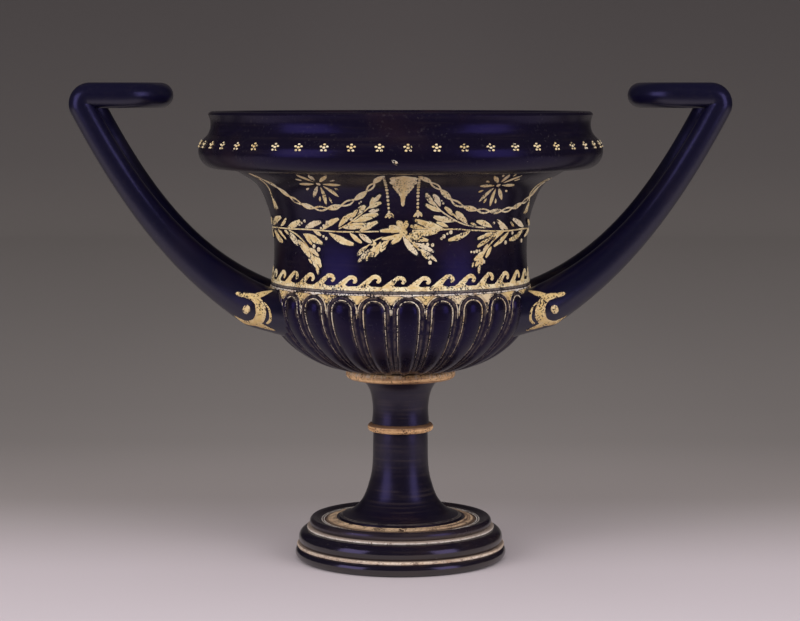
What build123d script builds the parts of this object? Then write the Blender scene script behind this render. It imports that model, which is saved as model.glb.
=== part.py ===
from build123d import *
import os
from math import cos, pi, radians, sin, tan

# A black-gloss pottery cup: a ribbed bowl on a tall stem, with a wide lip and two high looped handles.
# Millimetres, +Z up. The origin is the middle of the foot's underside, the handles lie along X and
# the front of the cup faces -Y. The pieces are stacked, so each level is the sum of those below it.

# Fits between the luted pieces
spigot_clearance = 0.2
spigot_end_gap = 0.5

# Foot
base_height = 14.0
base_contact_radius = 47.0
standing_ring_width = 7.0
base_bore_radius = 33.0
base_bore_height = 4.0
lower_moulding_overhang = 2.8
lower_moulding_height = 5.6
lower_moulding_belly = 2.7
lower_line_setback = 0.7
lower_line_height = 1.6
lower_line_depth = 2.4
upper_moulding_setback = 1.7
upper_moulding_belly = 3.5
upper_moulding_foot_inset = 0.7
upper_moulding_top_inset = 3.2
upper_line_setback = 0.6
upper_line_height = 1.4
upper_line_depth = 2.6
disc_setback = 1.7
disc_edge_height = 3.8
disc_edge_round = 0.9
disc_rim_width = 2.8
disc_trough_depth = 1.2
disc_plug_height = 3.0
top_band_inner_radius = 30.2
top_band_width = 5.5
top_band_depth = 0.5
top_band_proud = 0.1

# Stem
stem_bore_radius = 5.6
stem_spigot_radius = 9.0
stem_lower_height = 40.9
stem_lower_radius = 12.9
stem_flare_radius = 29.2
stem_flare_edge = 0.5
stem_shin_radius = 18.8
stem_shin_rise = 7.4
stem_calf_radius = 14.8
stem_calf_rise = 17.0
bead_height = 3.9
bead_radius = 15.6
bead_spigot_height = 10.0
stem_upper_height = 21.0
stem_upper_waist_radius = 13.2
stem_upper_waist_rise = 7.6
stem_upper_flare_radius = 15.1
stem_upper_flare_rise = 16.6
stem_upper_top_radius = 18.2
stem_upper_bottom_radius = 13.6

# Collar and bowl
collar_height = 4.3
collar_radius = 25.9
collar_edge_round = 1.2
bowl_tenon_height = 2.6
bowl_bottom_radius = 22.0
bowl_radius = 62.8
bowl_belly_rise = 32.4
bowl_fullness = 1.8
bowl_wall = 5.2
bowl_floor = 6.4
shoulder_radius = 61.6
shoulder_rise = 4.6
shoulder_height = 3.6
tongue_count = 25
tongue_turn = 3.3
tongue_rise = 1.7
tongue_rise_low = 0.7

# Neck
neck_height = 53.3
neck_wall_thickness = 4.6
neck_bottom_radius = 60.5
neck_waist_radius = 59.2
neck_waist_rise = 11.3
neck_flare_radius = 62.2
neck_flare_rise = 37.0
neck_top_radius = 77.0
neck_throat_inset = 10.5
neck_throat_drop = 7.3
neck_spigot_height = 2.0
neck_spigot_width = 2.4

# Lip
lip_height = 27.1
lip_radius = 94.35
lip_belly_rise = 8.2
lip_under_radius = 88.4
lip_under_rise = 1.0
lip_shoulder_radius = 90.4
lip_shoulder_rise = 15.6
lip_waist_radius = 88.5
lip_waist_rise = 20.9
rim_radius = 89.6
rim_thickness = 4.6
lip_wall_thickness = 5.6
lip_floor_thickness = 6.8
lip_floor_share = 0.7
lip_edge_thickness = 1.2

# Handles
rod_radius = 5.85
root_rod_radius = 10.2
root_angle = 18.5
root_drop = 12.5
root_rise_angle = 27.3
root_yaw_angle = 14.0
root_reach = 37.7
pad_length = 8.0
pad_radius = 11.6
pad_inner_radius = 7.0
pad_depth = 14.0
arm_lean_angle = 62.0
arm_top_reach = 46.0
arm_sections = 6
crown_gap = 11.5
crown_length = 36.8
crown_half_width = 19.0
crown_above_rim = 7.4
knee_bend_radius = 4.0
knee_stub_length = 12.0
pellet_radius = 2.4
pellet_sink = 1.4
pellet_station = 0.01
pellet_droop_angle = 15.0

# Radii of the foot, from the standing ring in to the disc
base_well_radius = base_contact_radius - standing_ring_width
lower_moulding_radius = base_contact_radius + lower_moulding_overhang
lower_line_radius = lower_moulding_radius - lower_line_setback
upper_moulding_radius = lower_moulding_radius - upper_moulding_setback
upper_moulding_foot_radius = upper_moulding_radius - upper_moulding_foot_inset
upper_moulding_top_radius = upper_moulding_radius - upper_moulding_top_inset
upper_line_radius = upper_moulding_top_radius - upper_line_setback
disc_radius = upper_line_radius - disc_setback

# Levels, from the floor up
lower_line_level = lower_moulding_height
upper_moulding_level = lower_line_level + lower_line_height
upper_line_level = base_height
disc_edge_level = upper_line_level + upper_line_height
disc_top_level = disc_edge_level + disc_edge_height
bead_level = disc_top_level + stem_lower_height
stem_upper_level = bead_level + bead_height
collar_level = stem_upper_level + stem_upper_height
bowl_level = collar_level + collar_height
belly_level = bowl_level + bowl_belly_rise
shoulder_level = belly_level + shoulder_rise
neck_level = shoulder_level + shoulder_height
lip_level = neck_level + neck_height
rim_level = lip_level + lip_height
crown_level = rim_level + crown_above_rim

os.makedirs("parts", exist_ok=True)

# Foot base: two round mouldings round a hollow well, with a groove for the lower slip line
lower_groove_radius = lower_line_radius - lower_line_depth
with BuildPart() as foot_base:
    with BuildSketch(Plane.XZ):
        with BuildLine():
            Line((base_well_radius, 0), (base_contact_radius, 0))
            ThreePointArc(
                (base_contact_radius, 0),
                (lower_moulding_radius, lower_moulding_belly),
                (lower_line_radius - lower_line_height / 2, lower_line_level),
            )
            Polyline(
                (lower_line_radius - lower_line_height / 2, lower_line_level),
                (lower_groove_radius, lower_line_level),
                (lower_groove_radius, upper_moulding_level),
                (upper_moulding_foot_radius, upper_moulding_level),
            )
            ThreePointArc(
                (upper_moulding_foot_radius, upper_moulding_level),
                (upper_moulding_radius, upper_moulding_level + upper_moulding_belly),
                (upper_moulding_top_radius, base_height),
            )
            Polyline(
                (upper_moulding_top_radius, base_height),
                (base_bore_radius, base_height),
                (base_bore_radius, base_height - base_bore_height),
                (base_well_radius, 0),
            )
        make_face()
    revolve(axis=Axis.Z)
foot_base.part.label = "foot_base"
export_step(foot_base.part, "parts/foot_base.step")

# Lower slip line: a ring that fills the groove and stands out with a rounded face
with BuildPart() as foot_line_lower:
    with BuildSketch(Plane.XZ):
        with BuildLine():
            Polyline(
                (lower_line_radius - lower_line_height / 2, upper_moulding_level),
                (lower_groove_radius, upper_moulding_level),
                (lower_groove_radius, lower_line_level),
                (lower_line_radius - lower_line_height / 2, lower_line_level),
            )
            ThreePointArc(
                (lower_line_radius - lower_line_height / 2, lower_line_level),
                (lower_line_radius, (lower_line_level + upper_moulding_level) / 2),
                (lower_line_radius - lower_line_height / 2, upper_moulding_level),
            )
        make_face()
    revolve(axis=Axis.Z)
foot_line_lower.part.label = "foot_line_lower"
export_step(foot_line_lower.part, "parts/foot_line_lower.step")

# Upper slip line: a ring on the base, held in the step of the disc
upper_step_radius = upper_line_radius - upper_line_depth
with BuildPart() as foot_line_upper:
    with BuildSketch(Plane.XZ):
        with BuildLine():
            Polyline(
                (upper_line_radius - upper_line_height / 2, disc_edge_level),
                (upper_step_radius, disc_edge_level),
                (upper_step_radius, upper_line_level),
                (upper_line_radius - upper_line_height / 2, upper_line_level),
            )
            ThreePointArc(
                (upper_line_radius - upper_line_height / 2, upper_line_level),
                (upper_line_radius, (upper_line_level + disc_edge_level) / 2),
                (upper_line_radius - upper_line_height / 2, disc_edge_level),
            )
        make_face()
    revolve(axis=Axis.Z)
foot_line_upper.part.label = "foot_line_upper"
export_step(foot_line_upper.part, "parts/foot_line_upper.step")

# Foot disc: a stepped plate with a raised rim, whose face slopes out from the stem into a trough behind
# the rim. It has a plug into the base's bore and a hole for the stem's spigot
top_band_outer_radius = top_band_inner_radius + top_band_width
disc_trough_level = disc_top_level - disc_trough_depth
disc_rim_inner_radius = disc_radius - disc_rim_width
stem_hole_radius = stem_spigot_radius + spigot_clearance
with BuildPart() as foot_disc:
    with BuildSketch(Plane.XZ):
        with BuildLine():
            Polyline(
                (stem_hole_radius, base_height - disc_plug_height),
                (base_bore_radius - spigot_clearance, base_height - disc_plug_height),
                (base_bore_radius - spigot_clearance, base_height),
                (upper_step_radius, base_height),
                (upper_step_radius, disc_edge_level),
                (disc_radius, disc_edge_level),
                (disc_radius, disc_top_level),
                (disc_rim_inner_radius, disc_top_level),
                (disc_rim_inner_radius - disc_trough_depth, disc_trough_level),
                (top_band_outer_radius, disc_trough_level),
                (top_band_outer_radius, disc_trough_level - top_band_depth),
                (top_band_inner_radius, disc_top_level - top_band_depth),
                (top_band_inner_radius, disc_top_level),
                (stem_hole_radius, disc_top_level),
                close=True,
            )
        make_face()
    revolve(axis=Axis.Z)
    disc_edges = foot_disc.edges().filter_by(GeomType.CIRCLE).group_by(SortBy.RADIUS)[-1]
    fillet(disc_edges.sort_by(Axis.Z)[-1], radius=disc_edge_round)
foot_disc.part.label = "foot_disc"
export_step(foot_disc.part, "parts/foot_disc.step")

# Reserved band let into the sloping face of the disc
with BuildPart() as foot_top_band:
    with BuildSketch(Plane.XZ):
        with BuildLine():
            Polyline(
                (top_band_inner_radius, disc_top_level - top_band_depth),
                (top_band_outer_radius, disc_trough_level - top_band_depth),
                (top_band_outer_radius, disc_trough_level + top_band_proud),
                (top_band_inner_radius, disc_top_level + top_band_proud),
                close=True,
            )
        make_face()
    revolve(axis=Axis.Z)
foot_top_band.part.label = "foot_top_band"
export_step(foot_top_band.part, "parts/foot_top_band.step")

# Lower stem: flares onto the disc, with a spigot down into it and a spigot up through the bead
with BuildPart() as stem_lower:
    with BuildSketch(Plane.XZ):
        with BuildLine():
            Polyline(
                (stem_bore_radius, base_height - disc_plug_height),
                (stem_spigot_radius, base_height - disc_plug_height),
                (stem_spigot_radius, disc_top_level),
                (stem_flare_radius, disc_top_level),
                (stem_flare_radius, disc_top_level + stem_flare_edge),
            )
            Spline(
                (stem_flare_radius, disc_top_level + stem_flare_edge),
                (stem_shin_radius, disc_top_level + stem_shin_rise),
                (stem_calf_radius, disc_top_level + stem_calf_rise),
                (stem_lower_radius, bead_level),
                tangents=((-1, 0), (0, 1)),
            )
            Polyline(
                (stem_lower_radius, bead_level),
                (stem_spigot_radius, bead_level),
                (stem_spigot_radius, bead_level + bead_spigot_height),
                (stem_bore_radius, bead_level + bead_spigot_height),
                (stem_bore_radius, base_height - disc_plug_height),
            )
        make_face()
    revolve(axis=Axis.Z)
stem_lower.part.label = "stem_lower"
export_step(stem_lower.part, "parts/stem_lower.step")

# Bead: a rounded clay ring between the two lengths of stem
with BuildPart() as stem_bead:
    with BuildSketch(Plane.XZ):
        with BuildLine():
            Polyline(
                (bead_radius - bead_height / 2, stem_upper_level),
                (stem_hole_radius, stem_upper_level),
                (stem_hole_radius, bead_level),
                (bead_radius - bead_height / 2, bead_level),
            )
            ThreePointArc(
                (bead_radius - bead_height / 2, bead_level),
                (bead_radius, bead_level + bead_height / 2),
                (bead_radius - bead_height / 2, stem_upper_level),
            )
        make_face()
    revolve(axis=Axis.Z)
stem_bead.part.label = "stem_bead"
export_step(stem_bead.part, "parts/stem_bead.step")

# Upper stem: a waisted length with a socket for the spigot below and a tenon into the bowl above
socket_top = bead_level + bead_spigot_height + spigot_end_gap
with BuildPart() as stem_upper:
    with BuildSketch(Plane.XZ):
        with BuildLine():
            Line((stem_hole_radius, stem_upper_level), (stem_upper_bottom_radius, stem_upper_level))
            Spline(
                (stem_upper_bottom_radius, stem_upper_level),
                (stem_upper_waist_radius, stem_upper_level + stem_upper_waist_rise),
                (stem_upper_flare_radius, stem_upper_level + stem_upper_flare_rise),
                (stem_upper_top_radius, collar_level),
            )
            Polyline(
                (stem_upper_top_radius, collar_level),
                (stem_spigot_radius, collar_level),
                (stem_spigot_radius, bowl_level + bowl_tenon_height),
                (stem_bore_radius, bowl_level + bowl_tenon_height),
                (stem_bore_radius, socket_top),
                (stem_hole_radius, socket_top),
                (stem_hole_radius, stem_upper_level),
            )
        make_face()
    revolve(axis=Axis.Z)
stem_upper.part.label = "stem_upper"
export_step(stem_upper.part, "parts/stem_upper.step")

# Collar: the reserved clay ring that the bowl sits on
with BuildPart() as bowl_collar:
    with BuildSketch(Plane.XY.offset(collar_level)):
        Circle(collar_radius)
        Circle(stem_hole_radius, mode=Mode.SUBTRACT)
    extrude(amount=collar_height)
    collar_edges = bowl_collar.edges().filter_by(GeomType.CIRCLE).group_by(SortBy.RADIUS)[-1]
    fillet(collar_edges, radius=collar_edge_round)
bowl_collar.part.label = "bowl_collar"
export_step(bowl_collar.part, "parts/bowl_collar.step")


def bowl_radius_at(share):
    """Radius of the bowl at a share of the way from its bottom up to its belly: a full rounded curve."""
    swell = (1 - (1 - share) ** bowl_fullness) ** (1 / bowl_fullness)
    return bowl_bottom_radius + (bowl_radius - bowl_bottom_radius) * swell


def tongue_ring(crest, valley, level):
    """A level ring of arcs, one for each tongue, that swell from a valley out to a crest."""
    pitch = 2 * pi / tongue_count
    first = radians(tongue_turn) - pi / 2
    with BuildSketch(Plane.XY.offset(level)) as ring:
        with BuildLine():
            for i in range(tongue_count):
                start = first + (i - 0.5) * pitch
                middle = first + i * pitch
                end = first + (i + 0.5) * pitch
                ThreePointArc(
                    (valley * cos(start), valley * sin(start)),
                    (crest * cos(middle), crest * sin(middle)),
                    (valley * cos(end), valley * sin(end)),
                )
        make_face()
    return ring.sketch


# Outer form of the bowl, filled: tongues that rise towards the belly and die out under the shoulder
tongue_shares = [0, 0.05, 0.16, 0.34, 0.6, 0.88]
tongue_rings = []
for share in tongue_shares:
    crest = bowl_radius_at(share)
    valley = crest - tongue_rise_low - (tongue_rise - tongue_rise_low) * share
    tongue_rings.append(tongue_ring(crest, valley, bowl_level + share * bowl_belly_rise))
tongue_rings.append(tongue_ring(shoulder_radius, shoulder_radius, shoulder_level))
with BuildPart() as bowl_form:
    loft(tongue_rings)
    with BuildSketch(Plane.XY.offset(shoulder_level)):
        Circle(shoulder_radius)
    extrude(amount=shoulder_height)

# Bowl: the outer form, hollowed to an even wall, with a socket underneath for the stem's tenon
neck_bore_radius = neck_bottom_radius - neck_wall_thickness
cavity_shares = [0.16, 0.4, 0.7]
cavity_points = [(0, bowl_level + bowl_floor)]
for share in cavity_shares:
    wall_lift = bowl_floor * (1 - share)
    cavity_points.append((bowl_radius_at(share) - bowl_wall, bowl_level + share * bowl_belly_rise + wall_lift))
cavity_points.append((neck_bore_radius, neck_level))
with BuildPart() as ribbed_bowl:
    add(bowl_form.part)
    with BuildSketch(Plane.XZ):
        with BuildLine():
            Spline(cavity_points, tangents=((1, 0), (0, 1)))
            Polyline((neck_bore_radius, neck_level), (0, neck_level), (0, bowl_level + bowl_floor))
        make_face()
    revolve(axis=Axis.Z, mode=Mode.SUBTRACT)
    with BuildSketch(Plane.XY.offset(bowl_level)):
        Circle(stem_hole_radius)
    extrude(amount=bowl_tenon_height + spigot_end_gap, mode=Mode.SUBTRACT)
ribbed_bowl.part.label = "ribbed_bowl"
export_step(ribbed_bowl.part, "parts/ribbed_bowl.step")

# Neck: a concave wall that flares under the lip, with a low spigot round its mouth
neck_mouth_radius = neck_top_radius - neck_wall_thickness - neck_spigot_width
neck_throat_radius = neck_top_radius - neck_throat_inset
neck_throat_level = lip_level - neck_throat_drop
with BuildPart() as neck_wall:
    with BuildSketch(Plane.XZ):
        with BuildLine():
            Line((neck_bore_radius, neck_level), (neck_bottom_radius, neck_level))
            Spline(
                (neck_bottom_radius, neck_level),
                (neck_waist_radius, neck_level + neck_waist_rise),
                (neck_flare_radius, neck_level + neck_flare_rise),
                (neck_throat_radius, neck_throat_level),
                (neck_top_radius, lip_level),
            )
            Polyline(
                (neck_top_radius, lip_level),
                (neck_mouth_radius + neck_spigot_width, lip_level),
                (neck_mouth_radius + neck_spigot_width, lip_level + neck_spigot_height),
                (neck_mouth_radius, lip_level + neck_spigot_height),
                (neck_mouth_radius, lip_level),
            )
            Spline(
                (neck_mouth_radius, lip_level),
                (neck_throat_radius - neck_wall_thickness, neck_throat_level),
                (neck_flare_radius - neck_wall_thickness, neck_level + neck_flare_rise),
                (neck_waist_radius - neck_wall_thickness, neck_level + neck_waist_rise),
                (neck_bore_radius, neck_level),
            )
        make_face()
    revolve(axis=Axis.Z)
neck_wall.part.label = "neck_wall"
export_step(neck_wall.part, "parts/neck_wall.step")

# Lip: a thin rim over a round lower moulding, seated on the neck and round its spigot
lip_seat_radius = neck_mouth_radius + neck_spigot_width + spigot_clearance
lip_bore_radius = neck_mouth_radius
lip_recess_level = lip_level + neck_spigot_height + spigot_end_gap
rim_inner_radius = rim_radius - rim_thickness
lip_inner_radius = lip_waist_radius - lip_wall_thickness
lip_floor_radius = lip_bore_radius + lip_floor_share * (lip_inner_radius - lip_bore_radius)
with BuildPart() as lip_ring:
    with BuildSketch(Plane.XZ):
        with BuildLine():
            Polyline(
                (lip_bore_radius, lip_recess_level + lip_edge_thickness),
                (lip_bore_radius, lip_recess_level),
                (lip_seat_radius, lip_recess_level),
                (lip_seat_radius, lip_level),
                (neck_top_radius, lip_level),
                (lip_under_radius, lip_level + lip_under_rise),
            )
            ThreePointArc(
                (lip_under_radius, lip_level + lip_under_rise),
                (lip_radius, lip_level + lip_belly_rise),
                (lip_shoulder_radius, lip_level + lip_shoulder_rise),
            )
            ThreePointArc(
                (lip_shoulder_radius, lip_level + lip_shoulder_rise),
                (lip_waist_radius, lip_level + lip_waist_rise),
                (rim_radius, rim_level),
            )
            Line((rim_radius, rim_level), (rim_inner_radius, rim_level))
            Spline(
                (rim_inner_radius, rim_level),
                (lip_inner_radius, lip_level + lip_shoulder_rise),
                (lip_floor_radius, lip_level + lip_floor_thickness),
                (lip_bore_radius, lip_recess_level + lip_edge_thickness),
                tangents=((0, -1), (-1, 0)),
            )
        make_face()
    revolve(axis=Axis.Z)
    rim_edges = lip_ring.edges().filter_by(GeomType.CIRCLE).group_by(Axis.Z)[-1]
    fillet(rim_edges, radius=rim_thickness / 3)
lip_ring.part.label = "lip_ring"
export_step(lip_ring.part, "parts/lip_ring.step")

# Lines that the handles follow, worked out for the right front arm and mirrored for the others
root_point = Vector(
    bowl_radius * cos(radians(root_angle)), -bowl_radius * sin(radians(root_angle)), neck_level - root_drop
)
root_way = Vector(
    cos(radians(root_rise_angle)) * cos(radians(root_yaw_angle)),
    cos(radians(root_rise_angle)) * sin(radians(root_yaw_angle)),
    sin(radians(root_rise_angle)),
)
knee_way = Vector(cos(radians(arm_lean_angle)), 0, sin(radians(arm_lean_angle)))
crown_tip = lip_radius + crown_gap + rod_radius
knee_point = Vector(crown_tip + crown_length, -crown_half_width, crown_level)
arm_bottom = root_point + root_way * pad_length
arm_top = knee_point - knee_way * knee_stub_length
pad_inner_point = root_point - root_way * pad_depth
knee_turn = 180 - arm_lean_angle
knee_setback = knee_bend_radius * tan(radians(knee_turn / 2))


def placed(point, side, place):
    """The same point or direction on the left or right handle, at its front or rear."""
    return Vector(side * point.X, -place * point.Y, point.Z)


def rod_radius_at(share):
    """Radius of an arm at a share of the way up from its pad, where it is thickest."""
    return rod_radius + (root_rod_radius - rod_radius) * (1 - share) ** 2


def square_to(direction, way):
    """The part of a direction that is square to a way, at unit length."""
    return (direction - way * direction.dot(way)).normalized()


def rod_disc(point, way, radius):
    """A round section of rod at a point, square to the way that the rod runs."""
    with BuildSketch(Plane(origin=point, x_dir=(0, 1, 0), z_dir=way)) as disc:
        Circle(radius)
    return disc.sketch


# Arms: rods that thicken towards the bowl, swept up and out from the pads to the stubs of the crown
handle_corners = []
for side_name, side in (("left", -1), ("right", 1)):
    for place_name, place in (("front", -1), ("rear", 1)):
        handle_corners.append((f"{side_name}_{place_name}_arm", side, place))

arms = []
pellet_spots = []
for arm_name, side, place in handle_corners:
    with BuildLine() as arm_line:
        Bezier(
            placed(arm_bottom, side, place),
            placed(arm_bottom + root_way * root_reach, side, place),
            placed(arm_top - knee_way * arm_top_reach, side, place),
            placed(arm_top, side, place),
        )
    arm_discs = []
    for i in range(arm_sections):
        share = i / (arm_sections - 1)
        arm_discs.append(rod_disc(arm_line.line @ share, arm_line.line % share, rod_radius_at(share)))
    with BuildPart() as arm:
        loft(arm_discs)
    arm.part.label = arm_name
    export_step(arm.part, f"parts/{arm_name}.step")
    arms.append(arm.part)
    pellet_way = arm_line.line % pellet_station
    outward = square_to(Vector(0, place, 0), pellet_way) * cos(radians(pellet_droop_angle))
    outward = outward - square_to(Vector(0, 0, 1), pellet_way) * sin(radians(pellet_droop_angle))
    pellet_spots.append(arm_line.line @ pellet_station + outward * (rod_radius_at(pellet_station) - pellet_sink))

# Root pads: flared cones between the arms and the bowl, cut to the bowl's ribbed face
with BuildPart() as root_pads:
    for arm_name, side, place in handle_corners:
        way = placed(root_way, side, place)
        pad_inner_end = rod_disc(placed(pad_inner_point, side, place), way, pad_inner_radius)
        pad_wide_part = rod_disc(placed(root_point, side, place), way, pad_radius)
        pad_arm_end = rod_disc(placed(arm_bottom, side, place), way, root_rod_radius)
        loft([pad_inner_end, pad_wide_part, pad_arm_end], ruled=True)
    add(bowl_form.part, mode=Mode.SUBTRACT)
root_pads.part.label = "root_pads"
export_step(root_pads.part, "parts/root_pads.step")

# Root pellets: small domes of slip on the outward faces of the arms, where they leave the pads
with BuildPart() as root_pellets:
    with Locations(*pellet_spots):
        Sphere(pellet_radius)
    add(arms, mode=Mode.SUBTRACT)
    add(root_pads.part, mode=Mode.SUBTRACT)
root_pellets.part.label = "root_pellets"
export_step(root_pellets.part, "parts/root_pellets.step")

# Crown loops: a level loop of rod that is open towards the knees, a sharp bend and a stub at each knee
for side_name, side in (("left", -1), ("right", 1)):
    leg_end = side * (knee_point.X - knee_setback)
    loop_end = side * (crown_tip + crown_half_width)
    with BuildPart() as crown_loop:
        with BuildLine(Plane.XY.offset(crown_level)) as loop_line:
            Line((leg_end, -crown_half_width), (loop_end, -crown_half_width))
            ThreePointArc(
                (loop_end, -crown_half_width), (side * crown_tip, 0), (loop_end, crown_half_width)
            )
            Line((loop_end, crown_half_width), (leg_end, crown_half_width))
        sweep(rod_disc(loop_line.line @ 0, loop_line.line % 0, rod_radius), path=loop_line.line)
        for place in (-1, 1):
            bend_middle = Vector(leg_end, place * crown_half_width, crown_level - knee_bend_radius)
            leg_point = (leg_end, place * crown_half_width, crown_level)
            with BuildSketch(Plane(origin=leg_point, x_dir=(0, 1, 0), z_dir=(1, 0, 0))):
                Circle(rod_radius)
                with Locations((0, -knee_bend_radius)):
                    Rectangle(
                        2 * rod_radius, 2 * rod_radius, align=(Align.CENTER, Align.MAX), mode=Mode.SUBTRACT
                    )
            revolve(axis=Axis(bend_middle, (0, side, 0)), revolution_arc=knee_turn)
            stub_top = placed(knee_point - knee_way * knee_setback, side, place)
            stub_disc = rod_disc(stub_top, -placed(knee_way, side, place), rod_radius)
            extrude(stub_disc, amount=knee_stub_length - knee_setback)
    crown_loop.part.label = f"{side_name}_crown_loop"
    export_step(crown_loop.part, f"parts/{side_name}_crown_loop.step")
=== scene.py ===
import bmesh
import bpy
import math
import numpy as np
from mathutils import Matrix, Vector


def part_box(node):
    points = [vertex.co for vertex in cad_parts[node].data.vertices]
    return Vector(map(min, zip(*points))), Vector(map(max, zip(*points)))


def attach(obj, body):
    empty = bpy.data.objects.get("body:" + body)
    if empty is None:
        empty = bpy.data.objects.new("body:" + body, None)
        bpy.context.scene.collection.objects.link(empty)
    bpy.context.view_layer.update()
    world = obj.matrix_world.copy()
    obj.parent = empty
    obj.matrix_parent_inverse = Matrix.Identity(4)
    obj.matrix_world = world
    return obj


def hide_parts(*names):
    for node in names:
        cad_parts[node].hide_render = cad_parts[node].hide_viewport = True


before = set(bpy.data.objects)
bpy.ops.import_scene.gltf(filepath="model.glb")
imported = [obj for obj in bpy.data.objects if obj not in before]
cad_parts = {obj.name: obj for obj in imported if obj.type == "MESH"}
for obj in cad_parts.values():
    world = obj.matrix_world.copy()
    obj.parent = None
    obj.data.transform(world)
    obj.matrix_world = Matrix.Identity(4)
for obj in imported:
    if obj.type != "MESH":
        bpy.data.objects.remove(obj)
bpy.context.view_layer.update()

# A black-gloss pottery cup with painted slip ornament. Shapes are worked out in millimetres and
# written to the meshes in metres. Angles round the cup are in degrees from the front, + to the right.
MM = 0.001
DEGREE = math.pi / 180
hand = np.random.default_rng(7)


def low(node):
    """Lowest level of a CAD node, in millimetres."""
    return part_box(node)[0].z / MM


def high(node):
    """Highest level of a CAD node, in millimetres."""
    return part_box(node)[1].z / MM


# Levels, read from the frame
DISC_TOP = high("foot_disc")
BASE_TOP = high("foot_base")
LOWER_LINE = (low("foot_line_lower"), high("foot_line_lower"))
UPPER_LINE = (low("foot_line_upper"), high("foot_line_upper"))
BEAD = (low("stem_bead"), high("stem_bead"))
COLLAR = (low("bowl_collar"), high("bowl_collar"))
BOWL_LOW = low("ribbed_bowl")
BOWL_TOP = high("ribbed_bowl")
LIP_LOW = low("lip_ring")
RIM = high("lip_ring")
CROWN_TOP = high("left_crown_loop")

# Points round a turned piece, and the room round a spigot in its socket
ROUND, STEM_ROUND, COLLAR_ROUND, LIP_ROUND, FIT = 256, 160, 200, 288, 0.2

# Radii and rises of the turned pieces
WELL_RADIUS, WELL_SWELL, BORE_RADIUS, BORE_HEIGHT = 40.0, (37.5, 7.0), 33.0, 4.0
CONTACT_RADIUS, LOWER_MOULDING = 47.0, (49.8, 2.7)
LOWER_LINE_RADIUS, LOWER_LINE_DEPTH, LOWER_LINE_BARE = 49.1, 2.4, 0.3
UPPER_MOULDING, UPPER_MOULDING_FOOT, UPPER_MOULDING_TOP = (48.1, 3.5), 47.4, 44.9
UPPER_LINE_RADIUS, UPPER_LINE_DEPTH, UPPER_LINE_BARE = 44.3, 2.6, 0.62
DISC_RADIUS, DISC_PLUG, DISC_RIM, DISC_TROUGH, DISC_EDGE = 42.6, 3.0, 2.8, 1.2, 0.8
TOP_BAND, TOP_BAND_DEPTH, TOP_BAND_SWELL, TOP_BAND_GOLD = (30.2, 35.7), 0.5, 0.09, 34.1
TROUGH_LINES, FLARE_LINES = (36.2, 37.2, 38.3), (27.7, 28.5)
STEM_BORE, SPIGOT, SPIGOT_REACH, SPIGOT_ROOM = 5.6, 9.0, 10.0, 0.5
FLARE_RADIUS, FLARE_EDGE, STEM_RADIUS = 29.2, 0.5, 12.9
ANKLE, SHIN, CALF = (23.2, 3.1), (18.8, 7.4), (14.8, 17.0)
BEAD_RADIUS, BEAD_DARK = 15.6, 1.5
COLLAR_RADIUS, COLLAR_CHIPPED = 25.9, 2.0
UPPER_STEM_FOOT, UPPER_STEM_TOP, TENON_RISE, SOCKET_RISE = 13.6, 18.2, 2.6, 3.1
UPPER_STEM_WAIST, UPPER_STEM_FLARE = (13.2, 7.6), (15.1, 16.6)
BOWL_FOOT_RADIUS, BELLY_RADIUS, BELLY_RISE, BOWL_FULLNESS = 22.0, 62.8, 32.4, 1.8
BOWL_FLOOR, BOWL_HOLLOW = 6.4, ((20, 7.4), (36.5, 10.6), (47.6, 16.8), (54.4, 25.5))
BOWL_SHOULDER = ((61.3, 0.3), (61.9, 1.6), (62.5, 4.5))
NECK_FOOT, NECK_WAIST, NECK_FLARE = 60.5, (59.2, 11.3), (62.2, 37.0)
NECK_TOP, THROAT_INSET, THROAT_DROP, NECK_WALL = 77.0, 10.5, 7.3, 4.6
SPIGOT_WIDTH, SPIGOT_HEIGHT = 2.4, 2.0
LIP_UNDER, LIP_BELLY = (88.4, 1.0), (94.35, 8.2)
LIP_SHOULDER, LIP_WAIST = (90.4, 15.6), (88.5, 20.9)
RIM_RADIUS, RIM_THICKNESS, RIM_ROUND, LIP_WALL, LIP_FLOOR, LIP_EDGE = 89.6, 4.6, 1.5, 5.6, 6.8, 1.2

# Tongues of the bowl
TONGUES, TONGUE_TURN = 25, 3.3
PETAL_SHARE, GROOVE_SHARE, RIB_SHARES = 0.60, 0.64, (0.68, 0.94)
PETAL_RISE, RIB_RISE, SHOULDER_RISE = 1.6, 0.85, 0.8
SHOULDER_SHARE, SHOULDER_SOFT, BOWL_EDGE = 0.99, 0.07, 0.9
ARCH_DROP, ARCH_RADIUS, ARCH_FLATNESS = 1.0, 62.3, 0.95
HALF_TONGUE_STEPS = (0, 0.13, 0.26, 0.38, 0.48, 0.55, 0.60, 0.64, 0.68, 0.73, 0.79, 0.85, 0.90, 0.95)
WORN_RIDGES = ((0.81, 0.07), (0.57, 0.03))

# Handles
ROD_RADIUS, ROOT_ROD_RADIUS, ROD_ROUND = 5.85, 10.2, 48
ROOT_ANGLE, ROOT_DROP, ROOT_RISE, ROOT_YAW, ROOT_REACH = 18.5, 12.5, 27.3, 14.0, 37.7
PAD_LENGTH, PAD_SINK, PAD_HALF_WIDTH, PAD_HALF_HEIGHT = 8.0, 1.4, 13.4, 12.2
PAD_PULL, PAD_INWARD, PAD_SPREAD, PAD_FOCUS = 9, 2, 5, 1.3
ARM_LEAN, ARM_TOP_REACH = 62.0, 46.0
CROWN_GAP, CROWN_LENGTH, CROWN_HALF_WIDTH = 11.5, 36.8, 19.0
KNEE_BEND, KNEE_STUB = 4.0, 12.0
ARM_LENGTH, PAD_RUN = 117.0, 13.0
PELLET_STATION, PELLET_RADIUS, PELLET_RELIEF, PELLET_DROOP = 0.01, 2.1, 0.75, 15.0

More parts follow.
